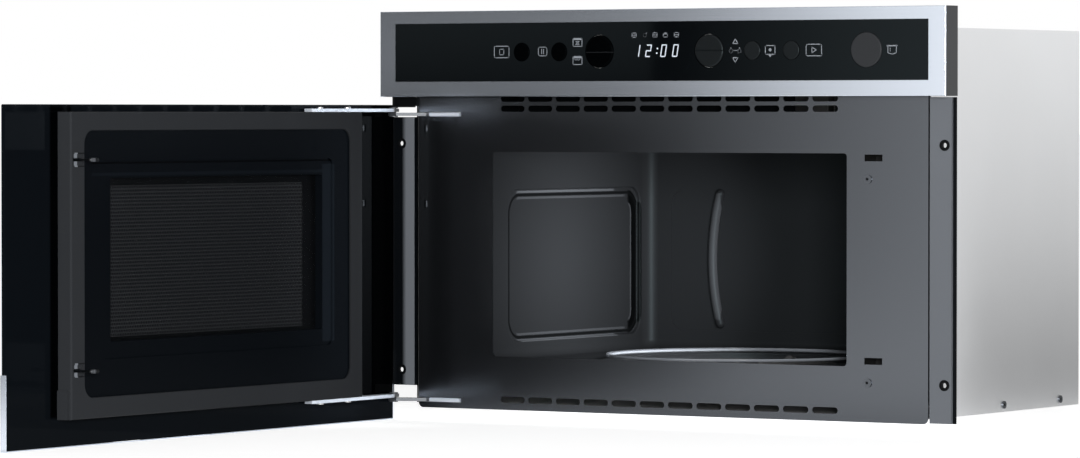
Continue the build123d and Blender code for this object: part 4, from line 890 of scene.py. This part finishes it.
# The front mirrors this card, dark to the left and bright to the right
frontCard = {
    "left": -3.4,
    "right": 0.2,
    "profile": [(-0.45, 0.0005), (-1.91, 0.012), (-1.91, 2.6)],  # Y, and height over the floor
    "levels": [(-3.4, 0.02), (-1.5, 0.02), (-1.1, 0.04), (-1.04, 0.07), (-0.98, 0.18), (-0.91, 0.45),
               (-0.83, 0.76), (-0.76, 1.08), (-0.66, 1.4), (-0.5, 1.7), (0.2, 1.7)],  # X and glow
}
cardLeft, cardRight = frontCard["left"], frontCard["right"]
cardStops = [((x - cardLeft) / (cardRight - cardLeft), level) for x, level in frontCard["levels"]]
cardRows = [[(x, y, floorHeight + height) for x in (cardLeft, cardRight)]
            for y, height in frontCard["profile"]]
stagePlane("frontCard", cardRows, cardMaterial("frontCardGlow", cardStops, "X", cardLeft, cardRight))

# The left half of the control panel's glass mirrors a low band
bandCard = {"y": -1.9, "left": -3.4, "right": -1.030, "low": 0.30, "high": 0.40,
            "levels": [(0.0, 0.25), (0.15, 0.4), (0.85, 0.72), (1.0, 0.5)]}
bandRows = [[(x, bandCard["y"], height) for x in (bandCard["left"], bandCard["right"])]
            for height in (bandCard["low"], bandCard["high"])]
bandGlow = cardMaterial("bandCardGlow", bandCard["levels"], "Z", bandCard["low"], bandCard["high"])
stagePlane("bandCard", bandRows, bandGlow)

# The casing's side mirrors this one, darker towards its foot
sideCard = {"x": 0.36, "front": 0.02, "back": 0.75, "top": 0.42,
            "levels": [(0.0, 0.20), (0.12, 0.34), (0.4, 0.66), (0.8, 0.98), (1.0, 1.05)]}
sideRows = [[(sideCard["x"], y, height) for y in (sideCard["front"], sideCard["back"])]
            for height in (floorHeight, sideCard["top"])]
sideGlow = cardMaterial("sideCardGlow", sideCard["levels"], "Z", floorHeight, sideCard["top"])
stagePlane("sideCard", sideRows, sideGlow)

# A large soft light from the right, and the oven's own lamp on the left wall of the cavity
lamps = {
    "keyLight": {"place": (2.75, -4.35, 0.55), "target": (0.0, -0.17, 0.15), "size": (0.6, 1.0),
                 "power": 235, "spread": 180, "glossy": True},
    "ovenGlow": {"place": (0.06, -0.034, 0.132), "target": (-0.187, -0.01, 0.132), "size": (0.06, 0.06),
                 "power": 1.15, "spread": 100, "glossy": False},
}


def softLight(name, lamp):
    light = bpy.data.lights.new(name, "AREA")
    light.shape = "RECTANGLE"
    light.size, light.size_y = lamp["size"]
    light.energy = lamp["power"]
    light.spread = math.radians(lamp["spread"])
    piece = bpy.data.objects.new(name, light)
    bpy.context.scene.collection.objects.link(piece)
    piece.location = lamp["place"]
    aim = Vector(lamp["target"]) - Vector(lamp["place"])
    piece.rotation_euler = aim.to_track_quat("-Z", "Y").to_euler()
    piece.visible_camera = False
    piece.visible_glossy = lamp["glossy"]


for name, lamp in lamps.items():
    softLight(name, lamp)

world = bpy.data.worlds.new("studio")
bpy.context.scene.world = world
world.use_nodes = True
tree = world.node_tree
background = tree.nodes["Background"]
background.inputs["Color"].default_value = (1, 1, 1, 1)
extra = mathNode(tree, "MULTIPLY", seenDirectly(tree), 1.0 - stage["ambient"])
tree.links.new(mathNode(tree, "ADD", extra, stage["ambient"]), background.inputs["Strength"])

camera = {"place": (2.5008, -4.3862, 0.2715), "turn": 0.55641, "pitch": -0.02156, "lens": 180.2,
          "sensorWidth": 36.0, "near": 0.1, "far": 200.0}
eye = bpy.data.cameras.new("camera")
eye.sensor_fit = "HORIZONTAL"
eye.sensor_width = camera["sensorWidth"]
eye.lens = camera["lens"]
eye.clip_start, eye.clip_end = camera["near"], camera["far"]
cameraPiece = bpy.data.objects.new("camera", eye)
bpy.context.scene.collection.objects.link(cameraPiece)
cameraPiece.location = camera["place"]
cameraPiece.rotation_euler = (math.pi / 2 + camera["pitch"], 0.0, camera["turn"])
bpy.context.scene.camera = cameraPiece
bpy.context.scene.view_settings.view_transform = "Standard"
print("lights and camera placed")

bpy.context.view_layer.update()
